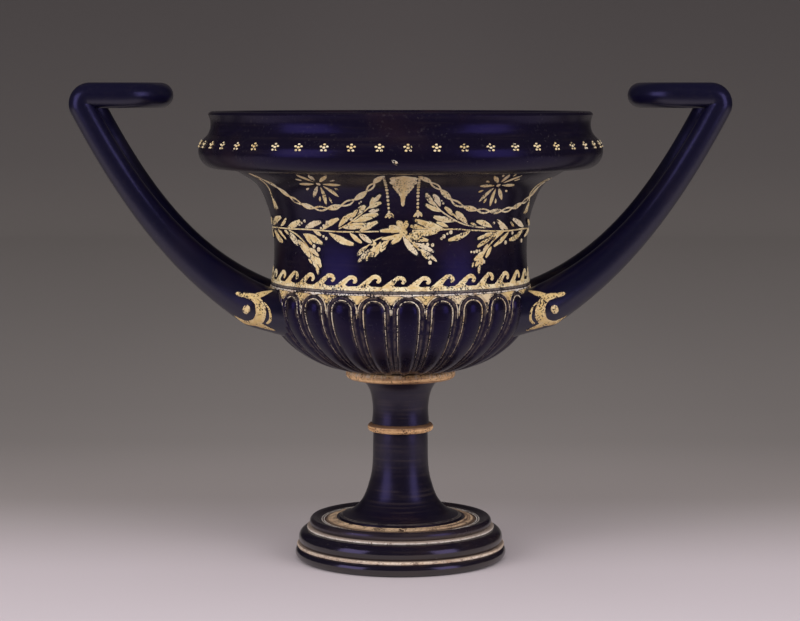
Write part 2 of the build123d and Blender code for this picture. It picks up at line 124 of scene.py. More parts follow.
# Painted slip
PAINT_RELIEF, PAINT_SINK = 0.22, 0.12
STROKE_SIDE, STROKE_CROWN = 0.75, 0.06
FLAT_RADIUS = 61.0


def cubic(u):
    """Weights of a cubic piece at a share u: of its start, its end, and the slopes at its start and end."""
    return 2 * u**3 - 3 * u**2 + 1, 3 * u**2 - 2 * u**3, u**3 - 2 * u**2 + u, u**3 - u**2


def smooth(points, count):
    """A smooth run through points: cubic pieces over the chord length, with the mean slope at each point."""
    p = np.asarray(points, float)
    knots = np.concatenate([[0], np.cumsum(np.linalg.norm(np.diff(p, axis=0), axis=1))])
    slopes = np.gradient(p, knots, axis=0)
    t = np.linspace(0, knots[-1], count)
    k = np.clip(np.searchsorted(knots, t, side="right") - 1, 0, len(knots) - 2)
    span = (knots[k + 1] - knots[k])[:, None]
    u = (t - knots[k])[:, None] / span
    at_start, at_end, from_start, to_end = cubic(u)
    ends = at_start * p[k] + at_end * p[k + 1]
    return ends + span * (from_start * slopes[k] + to_end * slopes[k + 1])


def arc(start, middle, end, count):
    """A round run through three points: the first one turned about the circle's centre in equal steps."""
    a, b, c = complex(*start), complex(*middle), complex(*end)
    ratio = (c - a) / (b - a)
    centre = a + (b - a) * (ratio - abs(ratio) ** 2) / (2j * ratio.imag)
    first = np.angle((b - centre) / (a - centre))
    whole = np.angle((c - centre) / (a - centre))
    if whole * first < 0:
        whole += math.copysign(2 * math.pi, first)
    z = centre + (a - centre) * np.exp(1j * whole * np.linspace(0, 1, count))
    return np.stack([z.real, z.imag], 1)


def soften(run, passes):
    """The same run with its corners eased: each inner point moves towards the mean of its neighbours."""
    run = np.array(run, float)
    for _ in range(passes):
        run[1:-1] = (run[:-2] + 2 * run[1:-1] + run[2:]) / 4
    return run


def even(run, count):
    """The same run with its points set evenly along its length."""
    steps = np.concatenate([[0], np.cumsum(np.linalg.norm(np.diff(run, axis=0), axis=1))])
    t = np.linspace(0, steps[-1], count)
    return np.stack([np.interp(t, steps, run[:, i]) for i in range(run.shape[1])], 1)


def unit(vectors):
    """Vectors at unit length."""
    return vectors / np.linalg.norm(vectors, axis=-1, keepdims=True)


def full_turn(count):
    """Equal steps round a circle, in radians."""
    return np.linspace(0, 2 * math.pi, count, endpoint=False)


def width_along(count, places, values):
    """Widths along a stroke, read between values at some places from 0 to 1."""
    return np.interp(np.linspace(0, 1, count), places, values)


def carried(profile, angles):
    """A profile of (radius, height) carried round the axis: (r sin a, -r cos a, z) for each angle a."""
    r, z = np.asarray(profile)[:, :1], np.asarray(profile)[:, 1:]
    return np.stack([r * np.sin(angles), -r * np.cos(angles), z + 0 * angles], -1)


def turned(profile, columns=ROUND):
    """A profile carried all the way round the axis."""
    return carried(profile, full_turn(columns))


def wheel_wobble(grid, depth):
    """A thrown wall's slight unevenness: low waves round the cup and up it, which only draw the wall in."""
    angle = np.arctan2(grid[..., 0], -grid[..., 1])
    waves = np.sin(2 * angle + grid[..., 2] / 31 + 0.7) + np.sin(3 * angle - grid[..., 2] / 17 + 2.1)
    draw = depth * (waves - 2) / 4
    radius = np.hypot(grid[..., 0], grid[..., 1])
    grid[..., :2] *= (1 + draw / np.maximum(radius, 1))[..., None]
    return grid


def quads(rows, columns, wrap_rows, wrap_columns):
    """The four corners of each cell of a grid, as numbers of its points, joined round where it wraps."""
    i = np.arange(rows if wrap_rows else rows - 1)[:, None]
    j = np.arange(columns if wrap_columns else columns - 1)[None, :]
    down, beside = (i + 1) % rows, (j + 1) % columns
    corners = (i * columns + j, i * columns + beside, down * columns + beside, down * columns + j)
    return np.stack(np.broadcast_arrays(*corners), -1).reshape(-1, 4)


def piece(name, grids, material, nodes=(), wrap_rows=False, crease=40.0, values=None):
    """One object from grids of points that wrap round their columns. Points that meet, as at the
    poles, are merged and the faces are turned outwards. Extra values per point become attributes."""
    starts = np.cumsum([0] + [g.shape[0] * g.shape[1] for g in grids])
    points = np.concatenate([g.reshape(-1, 3) for g in grids]) * MM
    faces = np.concatenate([quads(*g.shape[:2], wrap_rows, True) + s for g, s in zip(grids, starts)])
    mesh = bpy.data.meshes.new(name)
    mesh.from_pydata(points, [], faces)
    for key, value in (values or {}).items():
        layer = mesh.attributes.new(key, "FLOAT", "POINT")
        layer.data.foreach_set("value", np.concatenate([v.ravel() for v in value]).astype(np.float32))
    shape = bmesh.new()
    shape.from_mesh(mesh)
    bmesh.ops.remove_doubles(shape, verts=shape.verts, dist=1e-6)
    bmesh.ops.recalc_face_normals(shape, faces=shape.faces)
    shape.to_mesh(mesh)
    shape.free()
    mesh.shade_smooth()
    mesh.set_sharp_from_angle(angle=crease * DEGREE)
    mesh.materials.append(material)
    made = bpy.data.objects.new(name, mesh)
    bpy.context.collection.objects.link(made)
    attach(made, "root")
    if nodes:
        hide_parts(*nodes)


# Shader helpers
def put(tree, kind, links=None, **settings):
    """A new shader node with its settings; links gives each input a value or the socket that feeds it."""
    node = tree.nodes.new("ShaderNode" + kind)
    for key, value in settings.items():
        setattr(node, key, value)
    for key, value in (links or {}).items():
        if isinstance(value, bpy.types.NodeSocket):
            tree.links.new(value, node.inputs[key])
        else:
            node.inputs[key].default_value = value
    return node


def calc(tree, operation, *terms):
    """A sum, product or other operation on values."""
    return put(tree, "Math", dict(enumerate(terms)), operation=operation).outputs[0]


def times(tree, first, second):
    """A product of two values."""
    return calc(tree, "MULTIPLY", first, second)


def plus(tree, first, second):
    """A sum of two values."""
    return calc(tree, "ADD", first, second)


def stretch(tree, value, start, end, low_value=0.0, high_value=1.0):
    """A value spread from one range to another, eased at both ends."""
    links = {"Value": value, "From Min": start, "From Max": end, "To Min": low_value, "To Max": high_value}
    return put(tree, "MapRange", links, interpolation_type="SMOOTHSTEP").outputs[0]


def tint(tree, share, first, second):
    """A colour between two colours."""
    node = put(tree, "Mix", {0: share}, data_type="RGBA")
    for index, colour in ((6, first), (7, second)):
        if isinstance(colour, bpy.types.NodeSocket):
            tree.links.new(colour, node.inputs[index])
        else:
            node.inputs[index].default_value = (*colour, 1)
    return node.outputs[2]


def noise(tree, vector, scale, detail=3.0, roughness=0.55):
    """Cloudy noise between 0 and 1."""
    links = {"Vector": vector, "Scale": scale, "Detail": detail, "Roughness": roughness}
    return put(tree, "TexNoise", links).outputs[0]


def squeezed(tree, vector, scale):
    """A place stretched or squeezed along each axis."""
    return put(tree, "Mapping", {"Vector": vector, "Scale": scale}).outputs[0]


def attribute(tree, name):
    """A value that the points of a piece carry."""
    return put(tree, "Attribute", attribute_name=name).outputs["Fac"]


def wheel_lines(tree, place, scale):
    """Noise in rings round the axis, as a turning wheel leaves it: it changes fast with the radius and the
    level, and slowly round the cup."""
    x, y, z = put(tree, "SeparateXYZ", {"Vector": place}).outputs
    level_place = squeezed(tree, place, (1, 1, 0))
    radius = put(tree, "VectorMath", {0: level_place}, operation="LENGTH").outputs["Value"]
    slow = times(tree, plus(tree, x, times(tree, y, 0.7)), 0.035)
    ring = put(tree, "CombineXYZ", {0: radius, 1: z, 2: slow}).outputs[0]
    return noise(tree, ring, scale, 4.0)


def new_group(name, inputs, outputs):
    """An empty node group with a vector called Place, number inputs with defaults, and number outputs."""
    group = bpy.data.node_groups.new(name, "ShaderNodeTree")
    group.interface.new_socket("Place", in_out="INPUT", socket_type="NodeSocketVector")
    for key, value in inputs.items():
        group.interface.new_socket(key, in_out="INPUT", socket_type="NodeSocketFloat").default_value = value
    for key in outputs:
        group.interface.new_socket(key, in_out="OUTPUT", socket_type="NodeSocketFloat")
    return group, group.nodes.new("NodeGroupInput").outputs, group.nodes.new("NodeGroupOutput").inputs


def put_out(group, out, **results):
    """A node group with each result joined to the output of that name."""
    for key, socket in results.items():
        group.links.new(socket, out[key])
    return group


# Sizes of the marks in the gloss and in the slip, as cells of noise in a metre
CLOUD, GAP, STREAK, SPECK, PATCH, DUST, FINE = 21.0, 70.0, 620.0, 1300.0, 40.0, 700.0, 1500.0
RUB_LINES, RUB_MARKS = 380.0, 420.0
OCHRE_CLOUD, OCHRE_GRAIN, SLIP_LINES, SLIP_GRAIN = 55.0, 520.0, 650.0, 1900.0
FLECK, FLECK_PATCH = 1250.0, 160.0


def fired_gloss_group():
    """What the kiln and the wheel leave in a black gloss: clouds of uneven firing, broken level streaks,
    scattered pale grains and dust, and a skin that is never quite flat."""
    group, given, out = new_group("fired_gloss", {"Streaks": 0.4}, ["Cloud", "Streak", "Grain", "Skin"])
    place = given["Place"]
    cloud = stretch(group, noise(group, place, CLOUD, 4.0), 0.5, 0.72)
    broken = stretch(group, noise(group, place, GAP, 2.0), 0.36, 0.60)
    streak = times(group, stretch(group, wheel_lines(group, place, STREAK), 0.46, 0.72), broken)
    speck = stretch(group, noise(group, place, SPECK, 1.0), 0.77, 0.82)
    patch = stretch(group, noise(group, place, PATCH, 2.0), 0.42, 0.62)
    dust = times(group, stretch(group, noise(group, place, DUST, 3.0), 0.55, 0.85, 0.0, 0.14), patch)
    wave = noise(group, squeezed(group, place, (60, 60, 90)), 1.0, 2.0)
    skin = plus(group, times(group, wave, 0.9), times(group, noise(group, place, FINE, 2.0), 0.05))
    grain = calc(group, "MAXIMUM", times(group, speck, patch), dust)
    streak = times(group, streak, given["Streaks"])
    return put_out(group, out, Cloud=cloud, Streak=streak, Grain=grain, Skin=skin)


def worn_slip_group():
    """What age leaves in painted slip: ochre clouds in the cream, lines of the wheel, flecks where the
    paint is lost, and a grainy skin."""
    group, given, out = new_group("worn_slip", {"Loss": 0.5}, ["Ochre", "Lines", "Lost", "Skin"])
    place = given["Place"]
    broad = stretch(group, noise(group, place, OCHRE_CLOUD, 2.0), 0.40, 0.62)
    close = stretch(group, noise(group, place, OCHRE_GRAIN, 4.0), 0.38, 0.64)
    ochre = plus(group, times(group, broad, 0.35), times(group, close, 0.65))
    lines = stretch(group, wheel_lines(group, place, SLIP_LINES), 0.40, 0.62)
    fleck = noise(group, place, FLECK, 3.0, 0.65)
    patch = stretch(group, noise(group, place, FLECK_PATCH, 2.0), 0.35, 0.7, 0.1, -0.06)
    edge = plus(group, calc(group, "SUBTRACT", 1.13, times(group, given["Loss"], 0.9)), patch)
    lost = stretch(group, fleck, calc(group, "SUBTRACT", edge, 0.05), edge)
    return put_out(group, out, Ochre=ochre, Lines=lines, Lost=lost, Skin=noise(group, place, SLIP_GRAIN, 2.0))


fired_gloss = fired_gloss_group()
worn_slip = worn_slip_group()


def new_material(name):
    """An empty material with its shader, its place on the cup and its node tree."""
    material = bpy.data.materials.new(name)
    material.use_nodes = True
    tree = material.node_tree
    shader = tree.nodes["Principled BSDF"]
    place = put(tree, "TexCoord").outputs["Object"]
    return material, tree, shader, place


def use_group(tree, group, place, **values):
    """A node group set into a material, with its place and values."""
    node = tree.nodes.new("ShaderNodeGroup")
    node.node_tree = group
    tree.links.new(place, node.inputs["Place"])
    for key, value in values.items():
        node.inputs[key].default_value = value
    return node.outputs


def raise_skin(tree, shader, height, strength, distance):
    """A bump of a given height on a shader."""
    bump = put(tree, "Bump", {"Height": height, "Strength": strength, "Distance": distance})
    tree.links.new(bump.outputs[0], shader.inputs["Normal"])


# The second ground, used on the handles, is bluer: the glaze's own navy with painted blue sheen added to it.
GLOSS_BLACK, GLOSS_BLUE_AND_SHEEN = (0.0060, 0.0040, 0.0115), (0.0045, 0.0035, 0.0170)
GLOSS_STREAK = (0.0440, 0.0300, 0.0270)
GLOSS_BROWN = (0.0290, 0.0130, 0.0105)
GRAIN_PALE = (0.30, 0.26, 0.24)
RUBBED = (0.105, 0.078, 0.062)
VIOLET_SHEEN, GREY_SHEEN = (0.28, 0.24, 0.65), (0.74, 0.70, 0.86)
PALE_SHEEN, WHITE_SHEEN = (0.86, 0.86, 1.0), (1.0, 0.96, 0.82)


def gloss(name, streaks, brown, sheen, haze, worn="", ior=1.5, grains=0.6, ground=GLOSS_BLACK):
    """Gloss on a blue-black ground that turns brown in clouds, with thin level streaks and pale grains. Its
    sheen colours what it mirrors and its haze blurs it. Where it is worn, raised parts rub through to brown,
    broken or along the wheel."""
    material, tree, shader, place = new_material(name)
    skin = use_group(tree, fired_gloss, place, Streaks=streaks)
    colour = tint(tree, skin["Streak"], ground, GLOSS_STREAK)
    colour = tint(tree, times(tree, skin["Cloud"], brown), colour, GLOSS_BROWN)
    if worn:
        marks = wheel_lines(tree, place, RUB_LINES) if worn == "wheel" else noise(tree, place, RUB_MARKS, 3.0)
        rub = times(tree, attribute(tree, "ridge"), stretch(tree, marks, 0.34, 0.66))
        colour = tint(tree, rub, colour, RUBBED)
    grain = times(tree, skin["Grain"], grains)
    tree.links.new(tint(tree, grain, colour, GRAIN_PALE), shader.inputs["Base Color"])
    rough = plus(tree, times(tree, skin["Cloud"], 0.10), haze)
    rough = plus(tree, rough, times(tree, grain, 0.4))
    rough = plus(tree, rough, times(tree, skin["Streak"], 0.08))
    tree.links.new(rough, shader.inputs["Roughness"])
    shader.inputs["IOR"].default_value = ior
    shader.inputs["Specular Tint"].default_value = (*sheen, 1)
    raise_skin(tree, shader, skin["Skin"], 0.35, 0.0006)
    return material


def slip(name, cream, ochre, loss, under=GLOSS_BLACK, lines=0.0):
    """Painted slip, cream with ochre clouds or wheel lines, lost in flecks down to the ground under it. The
    middle of a brush stroke runs to gold; its tone runs from a dark edge at -1 through 0 to chalk at 1."""
    material, tree, shader, place = new_material(name)
    skin = use_group(tree, worn_slip, place, Loss=loss)
    core, tone = attribute(tree, "core"), attribute(tree, "tone")
    share = plus(tree, times(tree, skin["Ochre"], 1 - lines), times(tree, skin["Lines"], lines))
    colour = tint(tree, share, cream, ochre)
    colour = tint(tree, times(tree, core, GOLD_SHARE), colour, GOLD)
    colour = tint(tree, times(tree, calc(tree, "MAXIMUM", tone, 0), CHALK_SHARE), colour, CHALK)
    gaps = times(tree, stretch(tree, skin["Lines"], 0.8, 1.0), lines)
    lost = calc(tree, "MAXIMUM", skin["Lost"], gaps)
    lost = calc(tree, "MAXIMUM", lost, times(tree, tone, -1))
    tree.links.new(tint(tree, lost, colour, under), shader.inputs["Base Color"])
    rough = calc(tree, "SUBTRACT", 0.68, times(tree, skin["Lost"], 0.4))
    tree.links.new(rough, shader.inputs["Roughness"])
    raise_skin(tree, shader, skin["Skin"], 0.5, 0.0003)
    return material


CREAM, OCHRE, GOLD = (0.96, 0.83, 0.56), (0.68, 0.46, 0.21), (0.76, 0.52, 0.18)
WHITE_SLIP, WARM_SLIP = (0.82, 0.71, 0.60), (0.50, 0.34, 0.22)
CHALK, CHALK_GREY = (0.86, 0.79, 0.72), (0.60, 0.50, 0.43)
TAN, TAN_DARK = (0.62, 0.43, 0.27), (0.34, 0.20, 0.12)
ROOT_PALE, ROOT_GOLD = (0.76, 0.57, 0.31), (0.58, 0.37, 0.16)
SEAM_PALE, SEAM_DARK = (0.21, 0.175, 0.15), (0.07, 0.055, 0.055)
CLAY_LIGHT, CLAY_RED = (0.90, 0.57, 0.29), (0.45, 0.22, 0.09)
CLAY_BROWN, CLAY_DARK, CLAY_DUST = (0.12, 0.06, 0.03), (0.05, 0.028, 0.02), (0.23, 0.16, 0.125)
GOLD_SHARE, CHALK_SHARE = 0.62, 0.42

body_gloss = gloss("body_gloss", 0.16, 0.35, VIOLET_SHEEN, 0.25)
stem_gloss = gloss("stem_gloss", 0.45, 0.4, GREY_SHEEN, 0.30, ior=1.6)
base_gloss = gloss("base_gloss", 0.3, 0.4, WHITE_SHEEN, 0.16, ior=1.8)
disc_gloss = gloss("disc_gloss", 0.4, 0.3, GREY_SHEEN, 0.2, "wheel", ior=1.55)
bowl_gloss = gloss("bowl_gloss", 0.1, 0.4, VIOLET_SHEEN, 0.27, "broken")
# The handles' bluer ground carries painted blue sheen on top of the glaze's own navy.
handle_gloss = gloss("handle_gloss", 0.1, 0.12, PALE_SHEEN, 0.28, ior=1.62, grains=0.2, ground=GLOSS_BLUE_AND_SHEEN)
ornament_slip = slip("ornament_slip", CREAM, OCHRE, 0.585)
root_slip = slip("root_slip", ROOT_PALE, ROOT_GOLD, 0.6)
arch_slip = slip("arch_slip", CHALK, WARM_SLIP, 0.66)
line_slip = slip("line_slip", WHITE_SLIP, WARM_SLIP, 0.64, CLAY_DUST, 0.4)
upper_line_slip = slip("upper_line_slip", CHALK, CHALK_GREY, 0.6, CLAY_DUST, 0.15)
band_slip = slip("band_slip", TAN, TAN_DARK, 0.66, CLAY_DARK, 0.7)
bare_clay = slip("bare_clay", CLAY_LIGHT, CLAY_RED, 0.61, CLAY_BROWN, 0.45)
seam_slip = slip("seam_slip", SEAM_PALE, SEAM_DARK, 0.62)


# Foot
def closed(*runs):
    """Runs of profile points joined into one closed outline."""
    return np.concatenate([np.asarray(r, float) for r in runs])


def raised(level, *points):
    """Points of (radius, rise), as points of (radius, height) above a level."""
    return [(radius, level + rise) for radius, rise in points]


def round_face(radius, levels, count):
    """A round face between two levels: an arc that stands out by half its height."""
    middle = (levels[0] + levels[1]) / 2
    shy = radius - (levels[1] - levels[0]) / 2
    return arc((shy, levels[0]), (radius, middle), (shy, levels[1]), count)


def line_ring(name, levels, radius, depth, material, bare):
    """A slip line: a ring with a round face between two levels, let in to a depth, and a bare strip of
    some height along its top where the paint stops short."""
    back = [(radius - depth, levels[1]), (radius - depth, levels[0])]
    ring = wheel_wobble(turned(closed(round_face(radius, levels, 17), back)), 0.12)
    worn = -0.85 * np.clip((ring[..., 2] - levels[1] + bare) / 0.25, 0, 1)
    piece(name + "_slip", [ring], material, [name], wrap_rows=True, values={"tone": [worn]})


def thin_ring(radius, level):
    """A hair line of slip: a ring with a low oval section."""
    theta = full_turn(8)
    return turned(np.stack([radius + 0.2 * np.cos(theta), level + 0.07 * np.sin(theta)], 1))


def foot():
    """The base ring, its two slip lines, the stepped disc and the pale band in its top."""
    groove = LOWER_LINE_RADIUS - LOWER_LINE_DEPTH
    line_shy = LOWER_LINE_RADIUS - (LOWER_LINE[1] - LOWER_LINE[0]) / 2
    moulding = (UPPER_MOULDING[0], LOWER_LINE[1] + UPPER_MOULDING[1])
    bore_low = (BORE_RADIUS, BASE_TOP - BORE_HEIGHT)
    base = closed(
        [(WELL_RADIUS, 0), (CONTACT_RADIUS - 1, 0)],
        arc((CONTACT_RADIUS, 0), LOWER_MOULDING, (line_shy, LOWER_LINE[0]), 18),
        [(groove, LOWER_LINE[0]), (groove, LOWER_LINE[1])],
        arc((UPPER_MOULDING_FOOT, LOWER_LINE[1]), moulding, (UPPER_MOULDING_TOP, BASE_TOP), 20),
        [(BORE_RADIUS, BASE_TOP), bore_low],
        smooth([bore_low, WELL_SWELL, (WELL_RADIUS, 0)], 9)[1:-1],
    )
    piece("turned_base", [turned(base)], base_gloss, ["foot_base"], wrap_rows=True)
    line_ring("foot_line_lower", LOWER_LINE, LOWER_LINE_RADIUS, LOWER_LINE_DEPTH, line_slip, LOWER_LINE_BARE)
    line_ring("foot_line_upper", UPPER_LINE, UPPER_LINE_RADIUS, UPPER_LINE_DEPTH, upper_line_slip,
              UPPER_LINE_BARE)

    step = UPPER_LINE_RADIUS - UPPER_LINE_DEPTH
    plug = BASE_TOP - DISC_PLUG
    trough = DISC_TOP - DISC_TROUGH
    rim_inner = DISC_RADIUS - DISC_RIM
    socket, plug_radius = SPIGOT + FIT, BORE_RADIUS - FIT
    edge = (DISC_RADIUS - DISC_EDGE, DISC_TOP)
    top = soften([edge, (rim_inner + 0.6, DISC_TOP), (rim_inner, DISC_TOP - 0.15),
                  (rim_inner - 0.7, trough + 0.2), (rim_inner - 1.1, trough), (TOP_BAND[1], trough)], 1)
    seat = [(TOP_BAND[1], trough - TOP_BAND_DEPTH), (TOP_BAND[0], DISC_TOP - TOP_BAND_DEPTH),
            (TOP_BAND[0], DISC_TOP), (socket, DISC_TOP)]
    disc = closed(
        [(socket, plug), (plug_radius, plug), (plug_radius, BASE_TOP), (step, BASE_TOP)],
        [(step, UPPER_LINE[1]), (DISC_RADIUS - 0.3, UPPER_LINE[1])],
        arc((DISC_RADIUS, UPPER_LINE[1] + 0.4), (DISC_RADIUS - 0.1, DISC_TOP - 0.6), edge, 10),
        top,
        seat,
    )
    grid = turned(disc)
    fall = np.clip((DISC_TOP - disc[:, 1]) / (DISC_TOP - UPPER_LINE[1]), 0, 1)
    side = fall ** 2 * (disc[:, 0] > DISC_RADIUS - 1.0)
    upper = (disc[:, 0] > TOP_BAND[1] - 0.5) & (disc[:, 1] > trough - 0.1)
    ridge = np.maximum(0.9 * side, 0.15 * upper)[:, None] + 0 * grid[..., 0]
    piece("stepped_disc", [grid], disc_gloss, ["foot_disc"], wrap_rows=True, crease=30,
          values={"ridge": [ridge]})
    inner, outer = np.array([TOP_BAND[0], DISC_TOP]), np.array([TOP_BAND[1], trough])
    across = np.linspace(0.06, 0.94, 22)[:, None]
    face = outer + (inner - outer) * across + (0, TOP_BAND_SWELL)
    band = closed([inner - (0, TOP_BAND_DEPTH), outer - (0, TOP_BAND_DEPTH)],
                  [outer + (-0.1, -0.05)], face, [inner + (0.1, -0.05)])
    grid = turned(band)
    edge = -0.8 * np.clip((band[:, 0] - TOP_BAND_GOLD) / 0.3, 0, 1)
    piece("pale_band", [grid], band_slip, ["foot_top_band"], wrap_rows=True, crease=30,
          values={"tone": [edge[:, None] + 0 * grid[..., 0]]})
    lines = [thin_ring(radius, trough) for radius in TROUGH_LINES]
    piece("trough_lines", lines, upper_line_slip, wrap_rows=True)


def stem():
    """The two hollow lengths of stem, the clay bead between them and the clay collar above."""
    plug = BASE_TOP - DISC_PLUG
    socket, spigot_top = SPIGOT + FIT, BEAD[0] + SPIGOT_REACH
    flare = raised(DISC_TOP, (FLARE_RADIUS, FLARE_EDGE), ANKLE, SHIN, CALF) + [(STEM_RADIUS, BEAD[0])]
    flare = smooth(flare, 60)
    lower = closed(
        [(STEM_BORE, plug), (SPIGOT, plug), (SPIGOT, DISC_TOP), (FLARE_RADIUS, DISC_TOP)],
        flare,
        [(SPIGOT, BEAD[0]), (SPIGOT, spigot_top), (STEM_BORE, spigot_top)],
    )
    grid = wheel_wobble(turned(lower, STEM_ROUND), 0.25)
    piece("flared_stem", [grid], stem_gloss, ["stem_lower"], wrap_rows=True)
    lines = [thin_ring(radius, np.interp(radius, flare[::-1, 0], flare[::-1, 1])) for radius in FLARE_LINES]
    piece("flare_lines", lines, seam_slip, wrap_rows=True)

    bead = closed(round_face(BEAD_RADIUS, BEAD, 17), [(socket, BEAD[1]), (socket, BEAD[0])])
    grid = wheel_wobble(turned(bead, STEM_ROUND), 0.2)
    dark = -np.clip((grid[..., 2] - BEAD[1] + BEAD_DARK) / 0.5, 0, 1)
    piece("clay_bead", [grid], bare_clay, ["stem_bead"], wrap_rows=True,
          values={"tone": [dark]})

    outside = raised(BEAD[1], (UPPER_STEM_FOOT, 0), UPPER_STEM_WAIST, UPPER_STEM_FLARE)
    tenon, socket_top = BOWL_LOW + TENON_RISE, spigot_top + SPIGOT_ROOM
    upper = closed(
        smooth(outside + [(UPPER_STEM_TOP, COLLAR[0])], 36),
        [(SPIGOT, COLLAR[0]), (SPIGOT, tenon), (STEM_BORE, tenon)],
        [(STEM_BORE, socket_top), (socket, socket_top), (socket, BEAD[1])],
    )
    grid = wheel_wobble(turned(upper, STEM_ROUND), 0.2)
    piece("upper_stem", [grid], stem_gloss, ["stem_upper"], wrap_rows=True)

    face_low, face_middle = raised(COLLAR[0], (COLLAR_RADIUS - 1.8, 0.2), (COLLAR_RADIUS, 2.7))
    collar = closed(
        [(socket, COLLAR[0]), (COLLAR_RADIUS - 2.6, COLLAR[0])],
        arc(face_low, face_middle, (COLLAR_RADIUS - 1.0, COLLAR[1]), 14),
        [(socket, COLLAR[1])],
    )
    grid = wheel_wobble(turned(collar, COLLAR_ROUND), 0.35)
    chipped = np.clip(np.random.default_rng(3).normal(0, 0.9, (1, COLLAR_ROUND)), 0, 1)
    chips = chipped * np.clip((grid[..., 2] - COLLAR[1] + COLLAR_CHIPPED) / 0.8, 0, 1)
    piece("clay_collar", [grid], bare_clay, ["bowl_collar"], wrap_rows=True,
          values={"tone": [chips]})


# Bowl
def bowl_meridian():
    """The bowl's outer curve from its top edge down to its foot: a rounded shoulder, then the belly, where
    radius = foot + (belly - foot) (1 - (1 - t)^n)^(1/n) over the rise t."""
    t = np.linspace(1, 0, 400) ** 2.2
    swell = (1 - (1 - t) ** BOWL_FULLNESS) ** (1 / BOWL_FULLNESS)
    girth = BOWL_FOOT_RADIUS + (BELLY_RADIUS - BOWL_FOOT_RADIUS) * swell
    belly = np.stack([girth, BOWL_LOW + BELLY_RISE * t], 1)
    edge = [(NECK_FOOT + 0.1, BOWL_TOP)] + [(radius, BOWL_TOP - drop) for radius, drop in BOWL_SHOULDER]
    shoulder = smooth(edge + [(BELLY_RADIUS, BOWL_LOW + BELLY_RISE)], 60)
    return even(np.concatenate([shoulder[:-1], belly]), 700)


MERIDIAN = bowl_meridian()
MERIDIAN_STEP = np.linalg.norm(MERIDIAN[1] - MERIDIAN[0])
MERIDIAN_LENGTH = MERIDIAN_STEP * (len(MERIDIAN) - 1)
MERIDIAN_WAY = np.gradient(MERIDIAN, axis=0)
MERIDIAN_NORMAL = unit(np.stack([-MERIDIAN_WAY[:, 1], MERIDIAN_WAY[:, 0]], 1))
ARCH_HALF = math.pi * ARCH_RADIUS / TONGUES
ARCH_CENTRE = ARCH_DROP + ARCH_FLATNESS * ARCH_HALF


def along_meridian(table, drop):
    """A value of the bowl's curve at a drop below its top edge, measured along the curve."""
    return np.interp(drop, np.linspace(0, MERIDIAN_LENGTH, len(MERIDIAN)), table)


def tongue_share(angle, drop):
    """How far a place lies from the middle of its tongue, as a share of half the tongue's width: sideways
    below the arch's centre, and as a distance from that centre above it."""
    pitch = 360 / TONGUES
    off = (np.asarray(angle) - TONGUE_TURN + pitch / 2) % pitch - pitch / 2
    radius = along_meridian(MERIDIAN[:, 0], drop)
    half = math.pi * radius / TONGUES
    across = off * DEGREE * radius
    rise = np.maximum(ARCH_CENTRE - drop, 0)
    return np.hypot(across / half, rise / ARCH_HALF), half


def tongue_relief(angle, drop):
    """Height of the bowl's moulding over its ground: a swelling petal, a groove, a raised rib round it,
    and a flat shoulder outside the arches, all in proportion to the tongue's width."""
    share, half = tongue_share(angle, drop)
    petal = PETAL_RISE * np.clip(1 - (share / PETAL_SHARE) ** 2.6, 0, 1) ** 0.8
    rib_place = np.clip((share - RIB_SHARES[0]) / (RIB_SHARES[1] - RIB_SHARES[0]), 0, 1)
    rib = RIB_RISE * np.sin(math.pi * rib_place) ** 1.3
    flat = np.clip((share - SHOULDER_SHARE) / SHOULDER_SOFT, 0, 1)
    flat = SHOULDER_RISE * flat * flat * (3 - 2 * flat)
    edge = np.clip(1 - drop / BOWL_EDGE, 0, 1) * (PETAL_RISE - SHOULDER_RISE)
    return (petal + rib + flat) * half / ARCH_HALF + edge


def on_bowl(angle, drop, lift):
    """A point on the bowl's moulded face at an angle and a drop below its top edge, lifted off it."""
    girth = along_meridian(MERIDIAN[:, 0], drop)
    sunk = tongue_relief(angle, drop) - PETAL_RISE * girth / ARCH_RADIUS + lift
    radius = girth + sunk * along_meridian(MERIDIAN_NORMAL[:, 0], drop)
    level = along_meridian(MERIDIAN[:, 1], drop) + sunk * along_meridian(MERIDIAN_NORMAL[:, 1], drop)
    turn = np.asarray(angle) * DEGREE
    return np.stack([radius * np.sin(turn), -radius * np.cos(turn), level + 0 * turn], -1)


def bowl():
    """The moulded bowl: its tongued outer face, and a smooth hollow with a socket under it."""
    half_steps = np.array(HALF_TONGUE_STEPS)
    steps = np.concatenate([half_steps, [1.0], 2 - half_steps[:0:-1]]) * 180 / TONGUES
    angles = (np.arange(TONGUES)[:, None] * 360 / TONGUES + steps + TONGUE_TURN).ravel()
    arch_end = ARCH_CENTRE + 1.5
    drops = np.concatenate([np.linspace(0, arch_end, 30), np.linspace(arch_end, MERIDIAN_LENGTH, 52)[1:]])
    outer = on_bowl(angles[None, :], drops[:, None], 0.0)
    hollow = raised(BOWL_LOW, (0, BOWL_FLOOR), *BOWL_HOLLOW) + [(NECK_FOOT - NECK_WALL, BOWL_TOP)]
    inner = smooth(hollow, 22)
    socket = raised(BOWL_LOW, (SPIGOT + FIT, 0), (SPIGOT + FIT, SOCKET_RISE), (0, SOCKET_RISE))
    turn = angles * DEGREE
    grid = np.concatenate([carried(inner, turn), outer, carried(socket, turn)])
    share, _ = tongue_share(angles[None, :], drops[:, None])
    ridge = sum(np.exp(-(((share - place) / width) ** 2)) for place, width in WORN_RIDGES)
    ridge = np.pad(ridge, ((len(inner), len(socket)), (0, 0)))
    piece("moulded_bowl", [grid], bowl_gloss, ["ribbed_bowl"], crease=60,
          values={"ridge": [ridge]})


# Neck and lip
def neck_face():
    """The neck's outer curve, from the bowl up to the lip."""
    points = raised(BOWL_TOP, (NECK_FOOT, 0), NECK_WAIST, NECK_FLARE)
    throat = (NECK_TOP - THROAT_INSET, LIP_LOW - THROAT_DROP)
    return smooth(points + [throat, (NECK_TOP, LIP_LOW)], 90)


